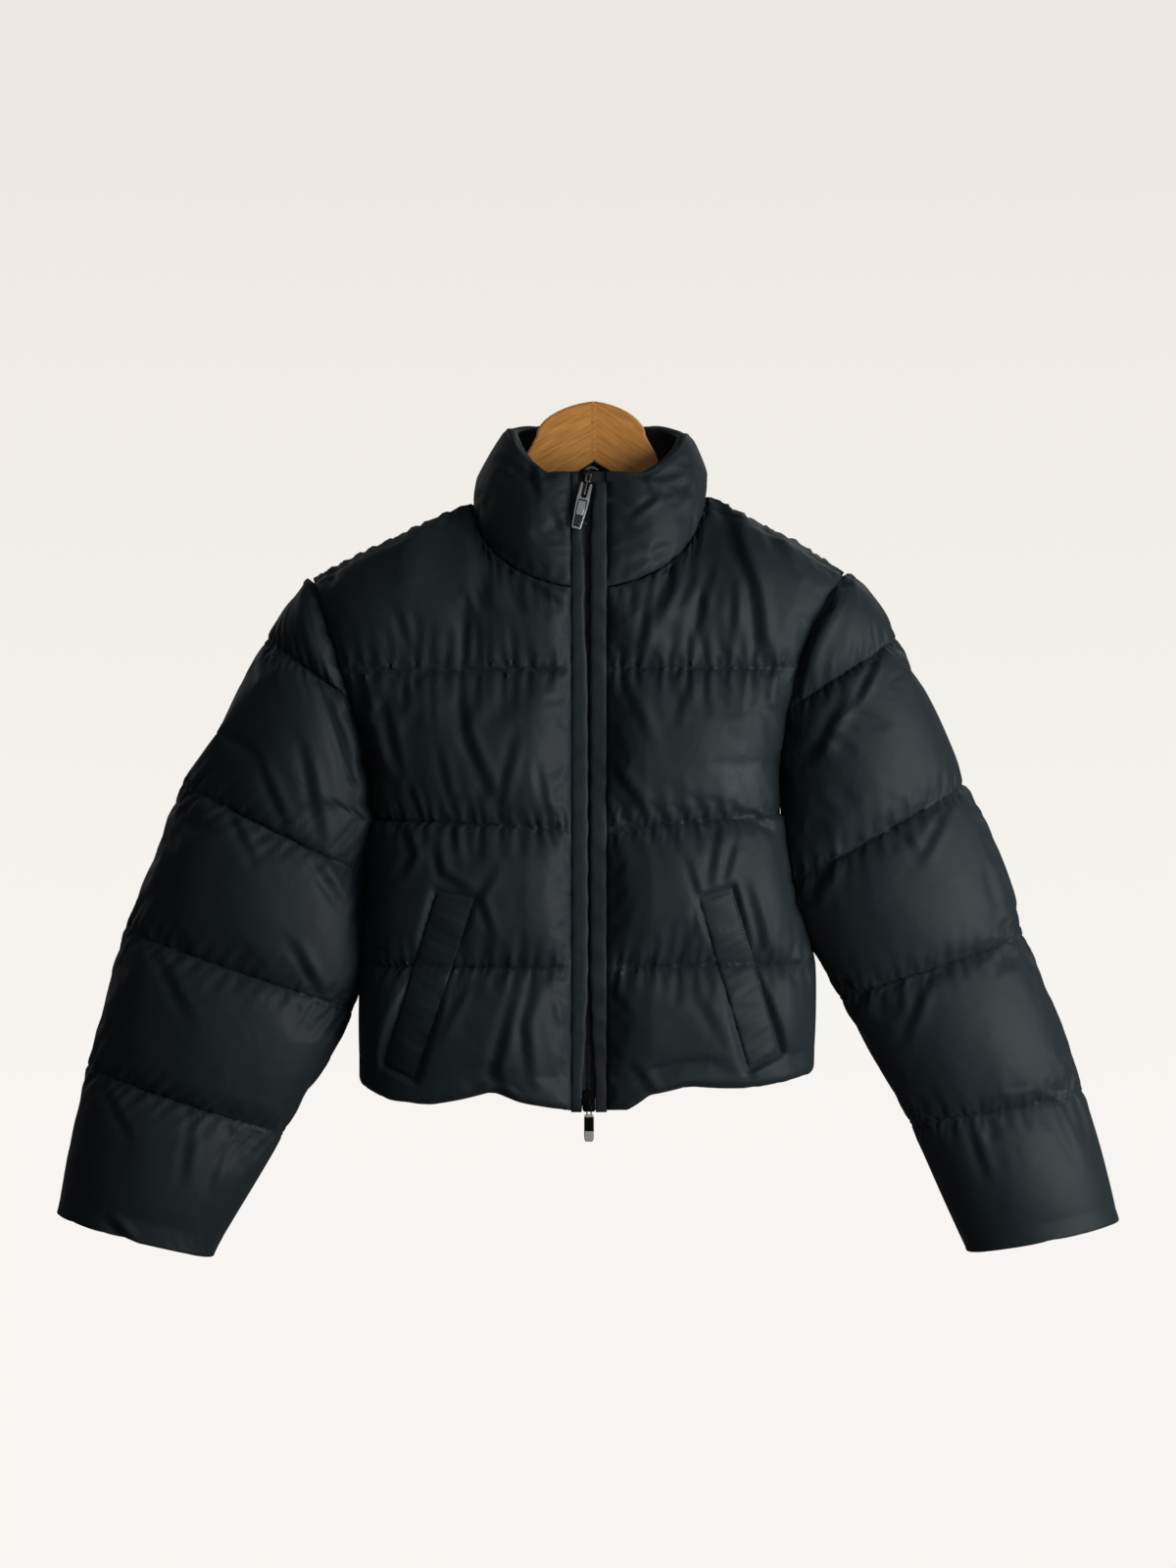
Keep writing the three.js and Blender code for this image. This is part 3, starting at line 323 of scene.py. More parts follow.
def zip_line(z):
    return np.interp(z, ZIP_PATH[:, 2], ZIP_PATH[:, 1])


# %% [markdown]
# ## Grids of points
# Each quilted piece becomes a grid. Its row 0 is the free edge: the hem, the cuff or the collar's top.
# A lip of a few more rows rolls round that edge to the inside.

# %% Grid builders
STEP = 2.7  # spacing of the grid's points
LIP_TURNS = np.linspace(np.pi, 0, 8)[:-1]


def levels(stops, length):
    """Rows between sewn lines, closer together next to them, and the index of each line."""
    rows, lines = [], [0]
    for low, high, size in zip(stops, stops[1:], length):
        n = max(6, round(size / STEP))
        t = np.linspace(0, 1, n, endpoint=False)
        rows += list(mix(low, high, t - 0.05 * np.sin(2 * np.pi * t)))
        lines.append(len(rows))
    return np.array(rows + [stops[-1]]), lines


def lip_rows(inner, outer, down):
    middle = (inner + outer) / 2
    turns = [middle + (outer - middle) * np.cos(a) + down * np.sin(a) for a in LIP_TURNS]
    return np.array(turns)


def panel_grid(side, face):
    rows, lines = levels([0, 1, 2, 3, 4], [112, 122, 130, 140])
    middle = FRONT_EDGE if face == "front" else 0
    n = 70
    s = np.linspace(0, 1, n + 1)
    s = s - 0.03 * np.sin(2 * np.pi * s) / (2 * np.pi) * 2
    thick = [panel_wall(side, face, s, r) for r in rows]
    outer = np.array([panel_point(side, face, s, r, t, middle) for r, t in zip(rows, thick)])
    inner = np.array([panel_point(side, face, s, r, 0 * s, middle) for r in rows])
    return inner, outer, lines


def front_grid(side):
    inner, outer, lines = panel_grid(side, "front")
    return inner, outer, lip_rows(inner[0], outer[0], np.array([0, 0, -HEM_LIP])), lines, 0


def back_grid():
    right, left = panel_grid("right", "back"), panel_grid("left", "back")
    inner, outer = (np.concatenate([right[k][:, :0:-1], left[k]], 1) for k in (0, 1))
    return inner, outer, lip_rows(inner[0], outer[0], np.array([0, 0, -HEM_LIP])), right[2], 0


def sleeve_grid(side):
    below, above = [5, 4, 3, 2], [2, UNDERARM_AT[side], 1, CAP_AT[side]]
    sizes = [125, 128, 135, (2 - UNDERARM_AT[side]) * 140, (UNDERARM_AT[side] - 1) * 140, (1 - CAP_AT[side]) * 60]
    rows, lines = levels(below + above[1:], sizes)
    joined = lines[4]
    columns = 170
    share = np.linspace(0, 1, columns + 1)
    skins = []
    for outside in (False, True):
        skin = []
        for at in rows:
            seam = cut_angle(side, at, SEAM_WALL if outside else 0)
            angle = mix(seam, 2 * np.pi - seam, share)
            layer = sleeve_wall(side, at, angle) if outside else 0 * angle
            x, y, z = sleeve_point(side, at, angle, layer)
            skin.append(np.stack([SIDES[side] * x, y, z], -1))
        skins.append(np.array(skin))
    inner, outer = skins
    slope = math.radians(SLEEVE[side]["slope"][5])
    down = np.array([SIDES[side] * math.sin(slope), 0, -math.cos(slope)]) * CUFF_LIP
    return inner, outer, lip_rows(inner[0], outer[0], down), [k for n, k in enumerate(lines) if n != 4], joined


def collar_grid():
    ups = mix(1, 0, np.linspace(0, 1, 42))
    n = 44
    pieces = {0: [], 1: []}
    for outside in (0, 1):
        for side, face, forward in (("right", "front", 1), ("right", "back", 0), ("left", "back", 1), ("left", "front", 0)):
            angle = np.linspace(neck_start(side) if face == "front" else 0, np.pi / 2, n)
            angle = angle if forward else angle[::-1]
            if pieces[outside]:
                angle = angle[1:]
            wall = lambda u: collar_wall(side, face, angle, u) if outside else 0 * angle
            pieces[outside].append(np.array([collar_point(side, face, angle, u, wall(u)) for u in ups]))
    inner, outer = (np.concatenate(pieces[k], 1) for k in (0, 1))
    return inner, outer, lip_rows(inner[0], outer[0], np.array([0, 0, 3.0])), [0, len(ups) - 1], 0


GRIDS = {"back": back_grid(), "collar": collar_grid()}
for side in SIDES:
    GRIDS["front_" + side] = front_grid(side)
    GRIDS["sleeve_" + side] = sleeve_grid(side)
print({name: grid[1].shape[:2] for name, grid in GRIDS.items()})

# %% [markdown]
# ## Gathers and creases
# The cloth is longer than its sewn lines, so it gathers along them. Short gathers sit close to a seam,
# longer ones reach further into the baffle. The large creases are placed as the photograph
# shows them: a polyline in the front view, a width and a depth.

# %% Gathers and creases
GATHERS = [  # wavelength, height, reach from the seam
    (7.0, 0.75, 4.0),
    (13.0, 0.7, 8.0),
    (46.0, 0.4, 26.0),
]
AMOUNT = {"collar": 0.3, "sleeve_right": 0.75, "sleeve_left": 0.75, "back": 0.9}


def wave(lengths, mean):
    """An uneven wave along a seam, with a random wavelength around the mean."""
    steps = rng.uniform(0.6, 1.5, int(lengths.max() / mean * 2) + 8) * mean / 2
    stops = np.concatenate([[-mean], -mean + np.cumsum(steps)])
    heights = rng.uniform(0.4, 1.0, len(stops)) * np.where(np.arange(len(stops)) % 2, 1, -1)
    phase = np.interp(lengths, stops, np.arange(len(stops)))
    k = np.clip(phase.astype(int), 0, len(stops) - 2)
    return mix(heights[k], heights[k + 1], smooth(phase - k))


def normals(grid):
    down = np.gradient(grid, axis=0)
    across = np.gradient(grid, axis=1)
    n = np.cross(across, down)
    return n / np.maximum(1e-9, np.linalg.norm(n, axis=-1, keepdims=True))


def lengths(grid, axis):
    step = np.linalg.norm(np.diff(grid, axis=axis), axis=-1)
    zero = np.zeros_like(np.take(step, [0], axis))
    return np.concatenate([zero, np.cumsum(step, axis=axis)], axis)


def gathered(grid, lines, amount=1.0, slant=0.25):
    down, across = lengths(grid, 0), lengths(grid, 1)
    height = np.zeros(grid.shape[:2])
    for line in lines:
        away = down - down[line]
        for mean, size, reach in GATHERS:
            d = np.abs(away) / reach
            lean = rng.uniform(-slant, slant)
            height += amount * size * d * np.exp(1 - d) * wave(across[line] + lean * away + 60, mean)
    return height


def crease_height(points, facing, creases):
    """Folds drawn in the front view, each with a sunk line and a raised shoulder on one side."""
    height = np.zeros(points.shape[:2])
    for route, width, depth in creases:
        stops = np.array(route, float)
        run = np.concatenate([[0], np.cumsum(np.linalg.norm(np.diff(stops, axis=0), axis=1))])
        t = np.linspace(0, run[-1], 24)
        line = np.stack([np.interp(t, run, stops[:, k]) for k in (0, 1)], -1)
        away = points[..., None, [0, 2]] - line
        far = np.linalg.norm(away, axis=-1)
        nearest = far.argmin(-1)
        d = np.take_along_axis(far, nearest[..., None], -1)[..., 0]
        width, depth = 0.7 * width, 0.85 * depth
        ahead = np.gradient(line, axis=0)[nearest]
        offset = np.take_along_axis(away, nearest[..., None, None], -2)[..., 0, :]
        signed = np.sign(ahead[..., 0] * offset[..., 1] - ahead[..., 1] * offset[..., 0]) * d / width
        taper = np.sin(np.pi * np.clip((nearest + 1) / 25, 0, 1)) ** 0.7
        height += depth * taper * (-np.exp(-(signed**2)) + 0.9 * np.exp(-((signed - 1.5) ** 2)))
    return height * facing


def px(*stops):
    """Points of the photograph as X and Z in the front view."""
    return [((x - 601) * 0.85, (410 - y) * 0.85) for x, y in stops]


CREASES = {
    "front_right": [
        (px((536, 596), (556, 612), (578, 628)), 7, 2.5),
        (px((486, 590), (500, 630)), 9, 2),
        (px((404, 620), (424, 678)), 6, 1.5),
        (px((476, 640), (478, 682)), 5, 1.2),
        (px((466, 524), (490, 562), (520, 584)), 8, 3),
        (px((394, 716), (410, 790)), 7, 2.5),
        (px((470, 708), (476, 752), (502, 816)), 8, 3),
        (px((526, 748), (506, 826)), 7, 2.2),
        (px((420, 800), (434, 838)), 5, 2),
        (px((548, 776), (558, 838)), 6, 1.8),
        (px((450, 764), (461, 824)), 6, 1.6),
        (px((366, 700), (376, 760), (404, 806)), 9, 3),
        (px((411, 841), (424, 872), (412, 892)), 6, 3.5),
        (px((445, 862), (452, 892), (486, 912)), 6, 3.5),
        (px((463, 841), (468, 876)), 5, 1.6),
        (px((505, 886), (489, 913), (503, 955)), 6, 2.5),
        (px((548, 990), (532, 1040), (540, 1106)), 8, 3),
        (px((524, 1008), (503, 1090), (518, 1116)), 8, 3.2),
        (px((482, 992), (448, 1056)), 6, 2),
        (px((560, 1008), (569, 1062)), 6, 1.8),
    ],
    "front_left": [
        (px((712, 528), (690, 556), (680, 598), (656, 648)), 9, 4),
        (px((738, 520), (748, 566), (762, 604), (768, 650), (778, 686)), 9, 5),
        (px((772, 530), (792, 566), (806, 590)), 7, 3),
        (px((724, 576), (709, 628), (700, 664)), 7, 2.5),
        (px((745, 590), (742, 662)), 6, 2),
        (px((660, 608), (651, 662)), 6, 2),
        (px((630, 694), (660, 762)), 8, 2.2),
        (px((618, 776), (654, 832)), 8, 3),
        (px((772, 700), (793, 782)), 8, 3),
        (px((700, 690), (684, 740)), 7, 1.5),
        (px((756, 828), (792, 852)), 6, 4),
        (px((697, 878), (709, 914), (704, 956)), 5, 2.2),
        (px((727, 846), (718, 902)), 6, 2.2),
        (px((746, 856), (733, 900)), 5, 2),
        (px((755, 898), (778, 976)), 7, 3),
        (px((617, 1006), (642, 1034)), 7, 2),
        (px((640, 1080), (668, 1118)), 7, 2),
        (px((748, 1064), (762, 1096)), 6, 2.2),
        (px((700, 1000), (730, 1060)), 8, 1.6),
    ],
    "sleeve_right": [
        (px((330, 700), (352, 770), (362, 838)), 10, 4),
        (px((268, 780), (296, 846)), 7, 2.5),
        (px((310, 760), (330, 860)), 8, 3),
        (px((236, 826), (262, 880)), 7, 2),
        (px((316, 872), (352, 930)), 8, 3),
        (px((160, 970), (200, 1040)), 8, 2),
        (px((300, 960), (326, 1012)), 7, 3),
        (px((110, 1110), (140, 1160)), 7, 1.6),
        (px((200, 1136), (190, 1200)), 7, 2),
        (px((114, 1236), (140, 1262)), 7, 3),
        (px((236, 1150), (214, 1210)), 7, 2.2),
    ],
    "sleeve_left": [
        (px((842, 612), (818, 660), (812, 700)), 8, 3.5),
        (px((894, 668), (868, 716)), 6, 3),
        (px((852, 716), (822, 776)), 9, 4),
        (px((960, 826), (930, 880)), 7, 2),
        (px((900, 840), (930, 870)), 7, 2.4),
        (px((846, 874), (826, 918)), 8, 3.5),
        (px((1000, 880), (1020, 950)), 8, 2),
        (px((880, 1016), (850, 1000)), 8, 3),
        (px((940, 992), (916, 1060)), 7, 2.5),
        (px((1040, 960), (1052, 1010)), 7, 2.5),
        (px((980, 1138), (1000, 1200)), 7, 2),
        (px((1060, 1122), (1090, 1180)), 7, 1.8),
        (px((1096, 1116), (1104, 1160)), 6, 2.2),
    ],
    "collar": [
        (px((650, 488), (664, 512), (640, 530)), 5, 2.5),
        (px((540, 476), (548, 510)), 6, 3),
        (px((500, 470), (530, 480)), 6, 1.6),
        (px((684, 560), (640, 580)), 7, 2),
        (px((700, 480), (690, 520)), 7, 1.5),
        (px((560, 520), (582, 566)), 6, 2),
    ],
    "back": [],
}


# %% [markdown]
# ## Filling the baffles
# The filling presses the outer cloth out from inside. A cloth simulation does that: the points on the
# seams are held, the cloth is given a little more length than the seams, and a light pressure fills it.
# The seams stay put and the extra length turns into gathers, as in a real quilted jacket.

# %% Cloth grids ready to fill
PRESSURE, FULLNESS, STEPS, CAP = 3.0, 0.016, 12, 7.0


def grid_index(shape, joined):
    index = np.arange(shape[0] * shape[1]).reshape(shape)
    index[:joined, -1] = index[:joined, 0] if joined else index[:joined, -1]
    return index


def quads(index):
    a, b, c, d = index[:-1, :-1], index[1:, :-1], index[1:, 1:], index[:-1, 1:]
    return np.stack([a, b, c, d], -1).reshape(-1, 4)


def mesh_object(name, points, faces, material=None):
    used, inverse = np.unique(np.concatenate([np.ravel(f) for f in faces]), return_inverse=True)
    sizes = [len(f) for f in faces]
    mesh = bpy.data.meshes.new(name)
    mesh.from_pydata((points.reshape(-1, 3)[used] * MM).tolist(), [], [list(r) for r in np.split(inverse, np.cumsum(sizes)[:-1])])
    obj = bpy.data.objects.new(name, mesh)
    bpy.context.scene.collection.objects.link(obj)
    if material:
        mesh.materials.append(material)
    return obj, used


SOFT = {}
for name, (inner, outer, lip, lines, joined) in GRIDS.items():
    cloth_grid = np.concatenate([lip, outer])
    extra = len(lip)
    joined_rows = joined + extra if joined else 0
    out = normals(cloth_grid)
    flipped = np.sum(out[extra + 4] * (outer[4] - inner[4])) < 0
    out = -out if flipped else out
    facing = np.clip(-out[..., 1] * 1.5, 0, 1)
    seams = [extra + k for k in lines if k > 0]
    slant = 0.6 if name.startswith("sleeve") else 0.25
    height = gathered(cloth_grid, seams, AMOUNT.get(name, 1.0), slant)
    creases = crease_height(cloth_grid, facing, CREASES[name])
    down, across = lengths(cloth_grid, 0), lengths(cloth_grid, 1)
    away = np.min([np.abs(down - down[k]) for k in seams + [0]], 0)
    height *= np.clip(away / 4, 0, 1)
    creases *= np.clip(away / 5, 0, 1)
    waver = np.zeros_like(height)
    for k in seams:
        near = np.exp(-(((down - down[k]) / 6) ** 2))
        waver += near * (0.9 * wave(across[k], 7.5) + 0.7 * wave(across[k], 26))
        height += near * 0.5 * wave(across[k] + 30, 6.5)
    along = np.gradient(cloth_grid, axis=0)
    along /= np.maximum(1e-9, np.linalg.norm(along, axis=-1, keepdims=True))
    edge = np.minimum(lengths(cloth_grid, 1), lengths(cloth_grid[:, ::-1], 1)[:, ::-1])
    if joined:
        share = np.linspace(0, 1, cloth_grid.shape[1])
        closing = np.minimum(share, 1 - share) * 12
        blend = np.clip(closing, 0, 1)
        blend[[0, -1]] = 0
        height[:joined_rows] *= blend
        height[joined_rows:] *= np.clip(edge[joined_rows:] / 8, 0, 1)
        creases[:joined_rows] *= blend
        creases[joined_rows:] *= np.clip(edge[joined_rows:] / 8, 0, 1)
    else:
        height *= np.clip(edge / 8, 0, 1)
        creases *= np.clip(edge / 8, 0, 1)
    waver *= np.clip(edge / 12, 0, 1)
    grid = cloth_grid + out * height[..., None] + along * waver[..., None]
    SOFT[name] = {"grid": grid, "seams": seams, "joined": joined_rows, "outwards": flipped, "creases": out * (creases + 0.7 * height)[..., None]}
print("points to fill:", sum(s["grid"].shape[0] * s["grid"].shape[1] for s in SOFT.values()))


# %% Fill them
def fill_baffles(soft, steps):
    for name, piece in soft.items():
        shape = piece["grid"].shape[:2]
        index = grid_index(shape, piece["joined"])
        faces = quads(index) if piece["outwards"] else quads(index)[:, ::-1]
        obj, used = mesh_object("fill_" + name, piece["grid"], faces.tolist())
        pinned = np.zeros(shape, bool)
        pinned[[0, -1]] = True
        pinned[piece["seams"]] = True
        open_rows = slice(piece["joined"], None)
        pinned[open_rows, 0] = pinned[open_rows, -1] = True
        group = obj.vertex_groups.new(name="sewn")
        group.add([int(k) for k in np.flatnonzero(pinned.ravel()[used])], 1.0, "REPLACE")
        cloth = obj.modifiers.new("filling", "CLOTH")
        settings = cloth.settings
        settings.vertex_group_mass = "sewn"
        settings.quality = 4
        settings.mass = 0.15
        settings.tension_stiffness = settings.compression_stiffness = 12
        settings.shear_stiffness = 5
        settings.bending_stiffness = 2.5
        settings.tension_damping = settings.compression_damping = settings.shear_damping = 8
        settings.air_damping = 3
        settings.use_pressure = True
        settings.uniform_pressure_force = PRESSURE
        settings.shrink_min = -FULLNESS
        settings.effector_weights.gravity = 0
        cloth.collision_settings.use_collision = False
        cloth.point_cache.frame_start, cloth.point_cache.frame_end = 1, steps
        piece.update(obj=obj, used=used, index=index)
    scene = bpy.context.scene
    scene.frame_start, scene.frame_end = 1, steps
    for step in range(1, steps + 1):
        scene.frame_set(step)
    graph = bpy.context.evaluated_depsgraph_get()
    for name, piece in soft.items():
        filled = piece["obj"].evaluated_get(graph).data
        points = np.empty(len(filled.vertices) * 3)
        filled.vertices.foreach_get("co", points)
        flat = piece["grid"].reshape(-1, 3).copy()
        moved = points.reshape(-1, 3) / MM - flat[piece["used"]]
        size = np.linalg.norm(moved, axis=1, keepdims=True)
        print(name, "largest move", round(float(size.max()), 1), "mm, mean", round(float(size.mean()), 1))
        flat[piece["used"]] += moved * np.minimum(1, CAP / np.maximum(size, 1e-9))
        piece["grid"] = flat[piece["index"].ravel()].reshape(piece["grid"].shape)
        bpy.data.objects.remove(piece["obj"])
    scene.frame_set(1)


fill_baffles(SOFT, STEPS)
for piece in SOFT.values():
    piece["grid"] += piece["creases"]


# %% [markdown]
# ## Materials
# Colours are written as they are seen, in hexadecimal, and turned into the linear values of a shader.

# %% Material helper
def linear(code):
    channels = [int(code[k : k + 2], 16) / 255 for k in (1, 3, 5)]
    return tuple(c / 12.92 if c < 0.04045 else ((c + 0.055) / 1.055) ** 2.4 for c in channels) + (1,)


def material(name, colour, roughness, metallic=0.0, **more):
    m = bpy.data.materials.new(name)
    m.use_nodes = True
    shader = m.node_tree.nodes["Principled BSDF"]
    shader.inputs["Base Color"].default_value = linear(colour)
    shader.inputs["Roughness"].default_value = roughness
    shader.inputs["Metallic"].default_value = metallic
    for key, value in more.items():
        shader.inputs[key.replace("_", " ")].default_value = value
    return m


def add_node(m, kind, values=(), **links):
    """A node with its settings, linked from other sockets by input name."""
    node = m.node_tree.nodes.new("ShaderNode" + kind)
    for key, value in dict(values).items():
        if isinstance(key, int) or key in node.inputs:
            node.inputs[key].default_value = value
        else:
            setattr(node, key, value)
    for key, socket in links.items():
        m.node_tree.links.new(socket, node.inputs[key.replace("_", " ")])
    return node


def output_of(m, node, socket, to):
    m.node_tree.links.new(node.outputs[socket], m.node_tree.nodes["Principled BSDF"].inputs[to])


# %% Cloth, metal and wood
taffeta = material("polyester taffeta", "#1A2429", 0.62, Specular_IOR_Level=0.32, Sheen_Weight=0.05)
place = add_node(taffeta, "NewGeometry").outputs["Position"]
crumple = add_node(taffeta, "TexNoise", {"Scale": 24.0, "Detail": 2.0, "Distortion": 0.5}, Vector=place)
soft_bump = add_node(taffeta, "Bump", {"Strength": 0.35, "Distance": 0.005}, Height=crumple.outputs["Fac"])
crinkle = add_node(taffeta, "TexNoise", {"Scale": 160.0, "Detail": 4.0}, Vector=place)
bump = add_node(taffeta, "Bump", {"Strength": 0.12, "Distance": 0.0012}, Height=crinkle.outputs["Fac"], Normal=soft_bump.outputs["Normal"])
output_of(taffeta, bump, "Normal", "Normal")
# A dusty scuff on the wearer's left front: a soft spot broken up by noise.
spot = {"vector_type": "TEXTURE", "Location": (0.131, -0.075, -0.323), "Scale": (0.024, 0.06, 0.038)}
spot = add_node(taffeta, "TexGradient", {"gradient_type": "SPHERICAL"}, Vector=add_node(taffeta, "Mapping", spot, Vector=place).outputs[0])
flecks = add_node(taffeta, "TexNoise", {"Scale": 420.0, "Detail": 3.0}, Vector=place)
patches = add_node(taffeta, "TexNoise", {"Scale": 90.0, "Detail": 2.0}, Vector=place)
flecks = add_node(taffeta, "Math", {"operation": "MULTIPLY"}, Value=flecks.outputs["Fac"])
taffeta.node_tree.links.new(patches.outputs["Fac"], flecks.inputs[1])
dust = add_node(taffeta, "Math", {"operation": "MULTIPLY"}, Value=flecks.outputs[0])
taffeta.node_tree.links.new(spot.outputs["Fac"], dust.inputs[1])
dusty = add_node(taffeta, "ValToRGB", Fac=dust.outputs[0])
dusty.color_ramp.elements[0].position, dusty.color_ramp.elements[1].position = 0.03, 0.3
dusty.color_ramp.elements[0].color, dusty.color_ramp.elements[1].color = linear("#1A2429"), linear("#38444A")
output_of(taffeta, dusty, "Color", "Base Color")
lining = material("polyester lining", "#15181A", 0.55)
tape_cloth = material("woven zip tape", "#121416", 0.75)
moulded = material("moulded zip teeth", "#26282B", 0.22)
nickel = material("nickel plating", "#B9BBBD", 0.28, 1.0)
gloss_black = material("gloss black plating", "#0C0D0E", 0.16, 0.3)
# Gunmetal plating for the pull's link and the upper slider's crown; the same material also paints a highlight strip on
# the lower slider's nose.
gunmetal_and_painted_highlight = material("gunmetal plating", "#8B8781", 0.34, 0.9)
polished = material("polished nickel", "#CFCDC8", 0.4, 0.5)


def beech_half(name, angle, dark, light):
    """Beech with its grain at an angle in the front view."""
    m = material(name, light, 0.52, Coat_Weight=0.05, Coat_Roughness=0.4)
    where = add_node(m, "NewGeometry").outputs["Position"]
    turned = add_node(m, "Mapping", {"Rotation": (0, math.radians(angle), 0)}, Vector=where)
    drawn = add_node(m, "Mapping", {"Scale": (45, 150, 520)}, Vector=turned.outputs[0])
    grain = add_node(m, "TexNoise", {"Scale": 1.0, "Detail": 6.0, "Distortion": 0.25}, Vector=drawn.outputs[0])
    tones = add_node(m, "ValToRGB", Fac=grain.outputs["Fac"])
    tones.color_ramp.elements[0].position, tones.color_ramp.elements[1].position = 0.28, 0.7
    tones.color_ramp.elements[0].color, tones.color_ramp.elements[1].color = linear(dark), linear(light)
    output_of(m, tones, "Color", "Base Color")
    return m


beech = beech_half("beech, right half", 30, "#C07D35", "#F0A953")
beech_left = beech_half("beech, left half", -33, "#B8742F", "#E29E4A")
glue = material("glue line", "#B07433", 0.6)
thread = material("polyester thread", "#0E1011", 0.6)
for name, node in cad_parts.items():
    kind = next((m for key, m in {"hanger_right": beech, "hanger_left": beech_left, "tape": tape_cloth, "chain": moulded, "top": gloss_black}.items() if key in name), None)
    kind = kind or {"slider_bottom": gloss_black, "pull_bottom": nickel}.get(name, taffeta)
    node.data.materials.clear()
    node.data.materials.append(kind)
    node.data.shade_smooth()
    node.data.set_sharp_from_angle(angle=math.radians(40))


# %% [markdown]
# ## Pocket welts
# A welt is a padded strip on the front. It presses the baffle flat, so the filled cloth is pushed back
# behind it, and pulled in a little along its sewn edges.

# %% Press the cloth in under the welts
WELT = {
    "right": [(-97, -428), (-130, -423), (-176, -572), (-149, -584)],
    "left": [(93, -428), (122, -420), (164, -562), (136, -575)],
}
WELT_ROWS = np.linspace(0, 2, 160)


def welt_base(side, x, z):
    """Depth of the panel's smooth outside at a place in the front view."""
    best = np.full(np.shape(x), 1e9)
    depth = np.zeros(np.shape(x))
    for row in WELT_ROWS:
        edge = panel_point(side, "front", np.ones(1), row, np.full(1, SEAM_WALL), FRONT_EDGE)[0, 0]
        s = np.clip((np.abs(x) - FRONT_EDGE) / (abs(edge) - FRONT_EDGE), 0, 1)
        p = panel_point(side, "front", s, row, panel_wall(side, "front", s, row), FRONT_EDGE)
        far = np.abs(p[..., 2] - z)
        depth = np.where(far < best, p[..., 1], depth)
        best = np.minimum(best, far)
    return depth


def outside_quad(x, z, corners):
    """Distance outside a four-cornered strip, below zero inside it."""
    c = np.array(corners, float)
    turn = np.sign((c[1, 0] - c[0, 0]) * (c[2, 1] - c[1, 1]) - (c[1, 1] - c[0, 1]) * (c[2, 0] - c[1, 0]))
    sides = []
    for a, b in zip(c, np.roll(c, -1, 0)):
        edge = b - a
        sides.append(-turn * (edge[0] * (z - a[1]) - edge[1] * (x - a[0])) / np.hypot(*edge))
    return np.max(sides, 0)


for side in SIDES:
    grid = SOFT["front_" + side]["grid"]
    x, z = grid[..., 0], grid[..., 2]
    near = (outside_quad(x, z, WELT[side]) < 16) & (grid[..., 1] < -20)
    base = welt_base(side, x[near], z[near])
    beyond = np.maximum(0, outside_quad(x[near], z[near], WELT[side]))
    limit = base + 0.4 - beyond * 1.3
    grid[near, 1] = np.maximum(grid[near, 1], limit)


# %% Build the welts
def strip(name, corners, base, rows, columns, thick, cloth):
    """A padded strip between four corners, rounded at its edges and puckered across."""
    c = np.array(corners, float)
    v, u = np.meshgrid(np.linspace(0, 1, rows), np.linspace(0, 1, columns), indexing="ij")
    flat = (c[0] * (1 - u)[..., None] + c[1] * u[..., None]) * (1 - v)[..., None]
    flat = flat + (c[3] * (1 - u)[..., None] + c[2] * u[..., None]) * v[..., None]
    x, z = flat[..., 0], flat[..., 1]
    y = base(x, z)
    dome = np.clip(4 * u * (1 - u), 0, 1) ** 0.35 * np.clip(30 * v * (1 - v), 0, 1) ** 0.5
    run = v * np.hypot(*(c[3] - c[0]))
    pucker = sum(size * wave(run + lean * u * 20 + 40, mean) for mean, size, lean in ((9, 0.35, 0.3), (24, 0.7, -0.5), (40, 0.6, 0.8)))
    front = y - 0.6 - thick * dome - pucker * dome
    top = np.stack([x, front, z], -1)
    under = np.stack([x, y + 1.5, z], -1)
    points = np.concatenate([top, under])
    index = np.arange(2 * rows * columns).reshape(2 * rows, columns)
    a, b = index[:rows], index[rows:]
    faces = [list(q) for q in quads(a)] + [list(q[::-1]) for q in quads(b)]
    rim_a = np.concatenate([a[0, :-1], a[:-1, -1], a[-1, :0:-1], a[:0:-1, 0]])
    rim_b = np.concatenate([b[0, :-1], b[:-1, -1], b[-1, :0:-1], b[:0:-1, 0]])
    faces += [[rim_a[k], rim_b[k], rim_b[k - 1], rim_a[k - 1]] for k in range(len(rim_a))]
    obj, _ = mesh_object(name, points, faces, cloth)
    tidy(obj)
    return obj, top


def tidy(obj, angle=50):
    """Weld, face outwards and shade smooth."""
    shape = bmesh.new()
    shape.from_mesh(obj.data)
    bmesh.ops.remove_doubles(shape, verts=shape.verts, dist=1e-6)
    bmesh.ops.recalc_face_normals(shape, faces=shape.faces)
    shape.to_mesh(obj.data)
    shape.free()
    obj.data.shade_smooth()
    obj.data.set_sharp_from_angle(angle=math.radians(angle))


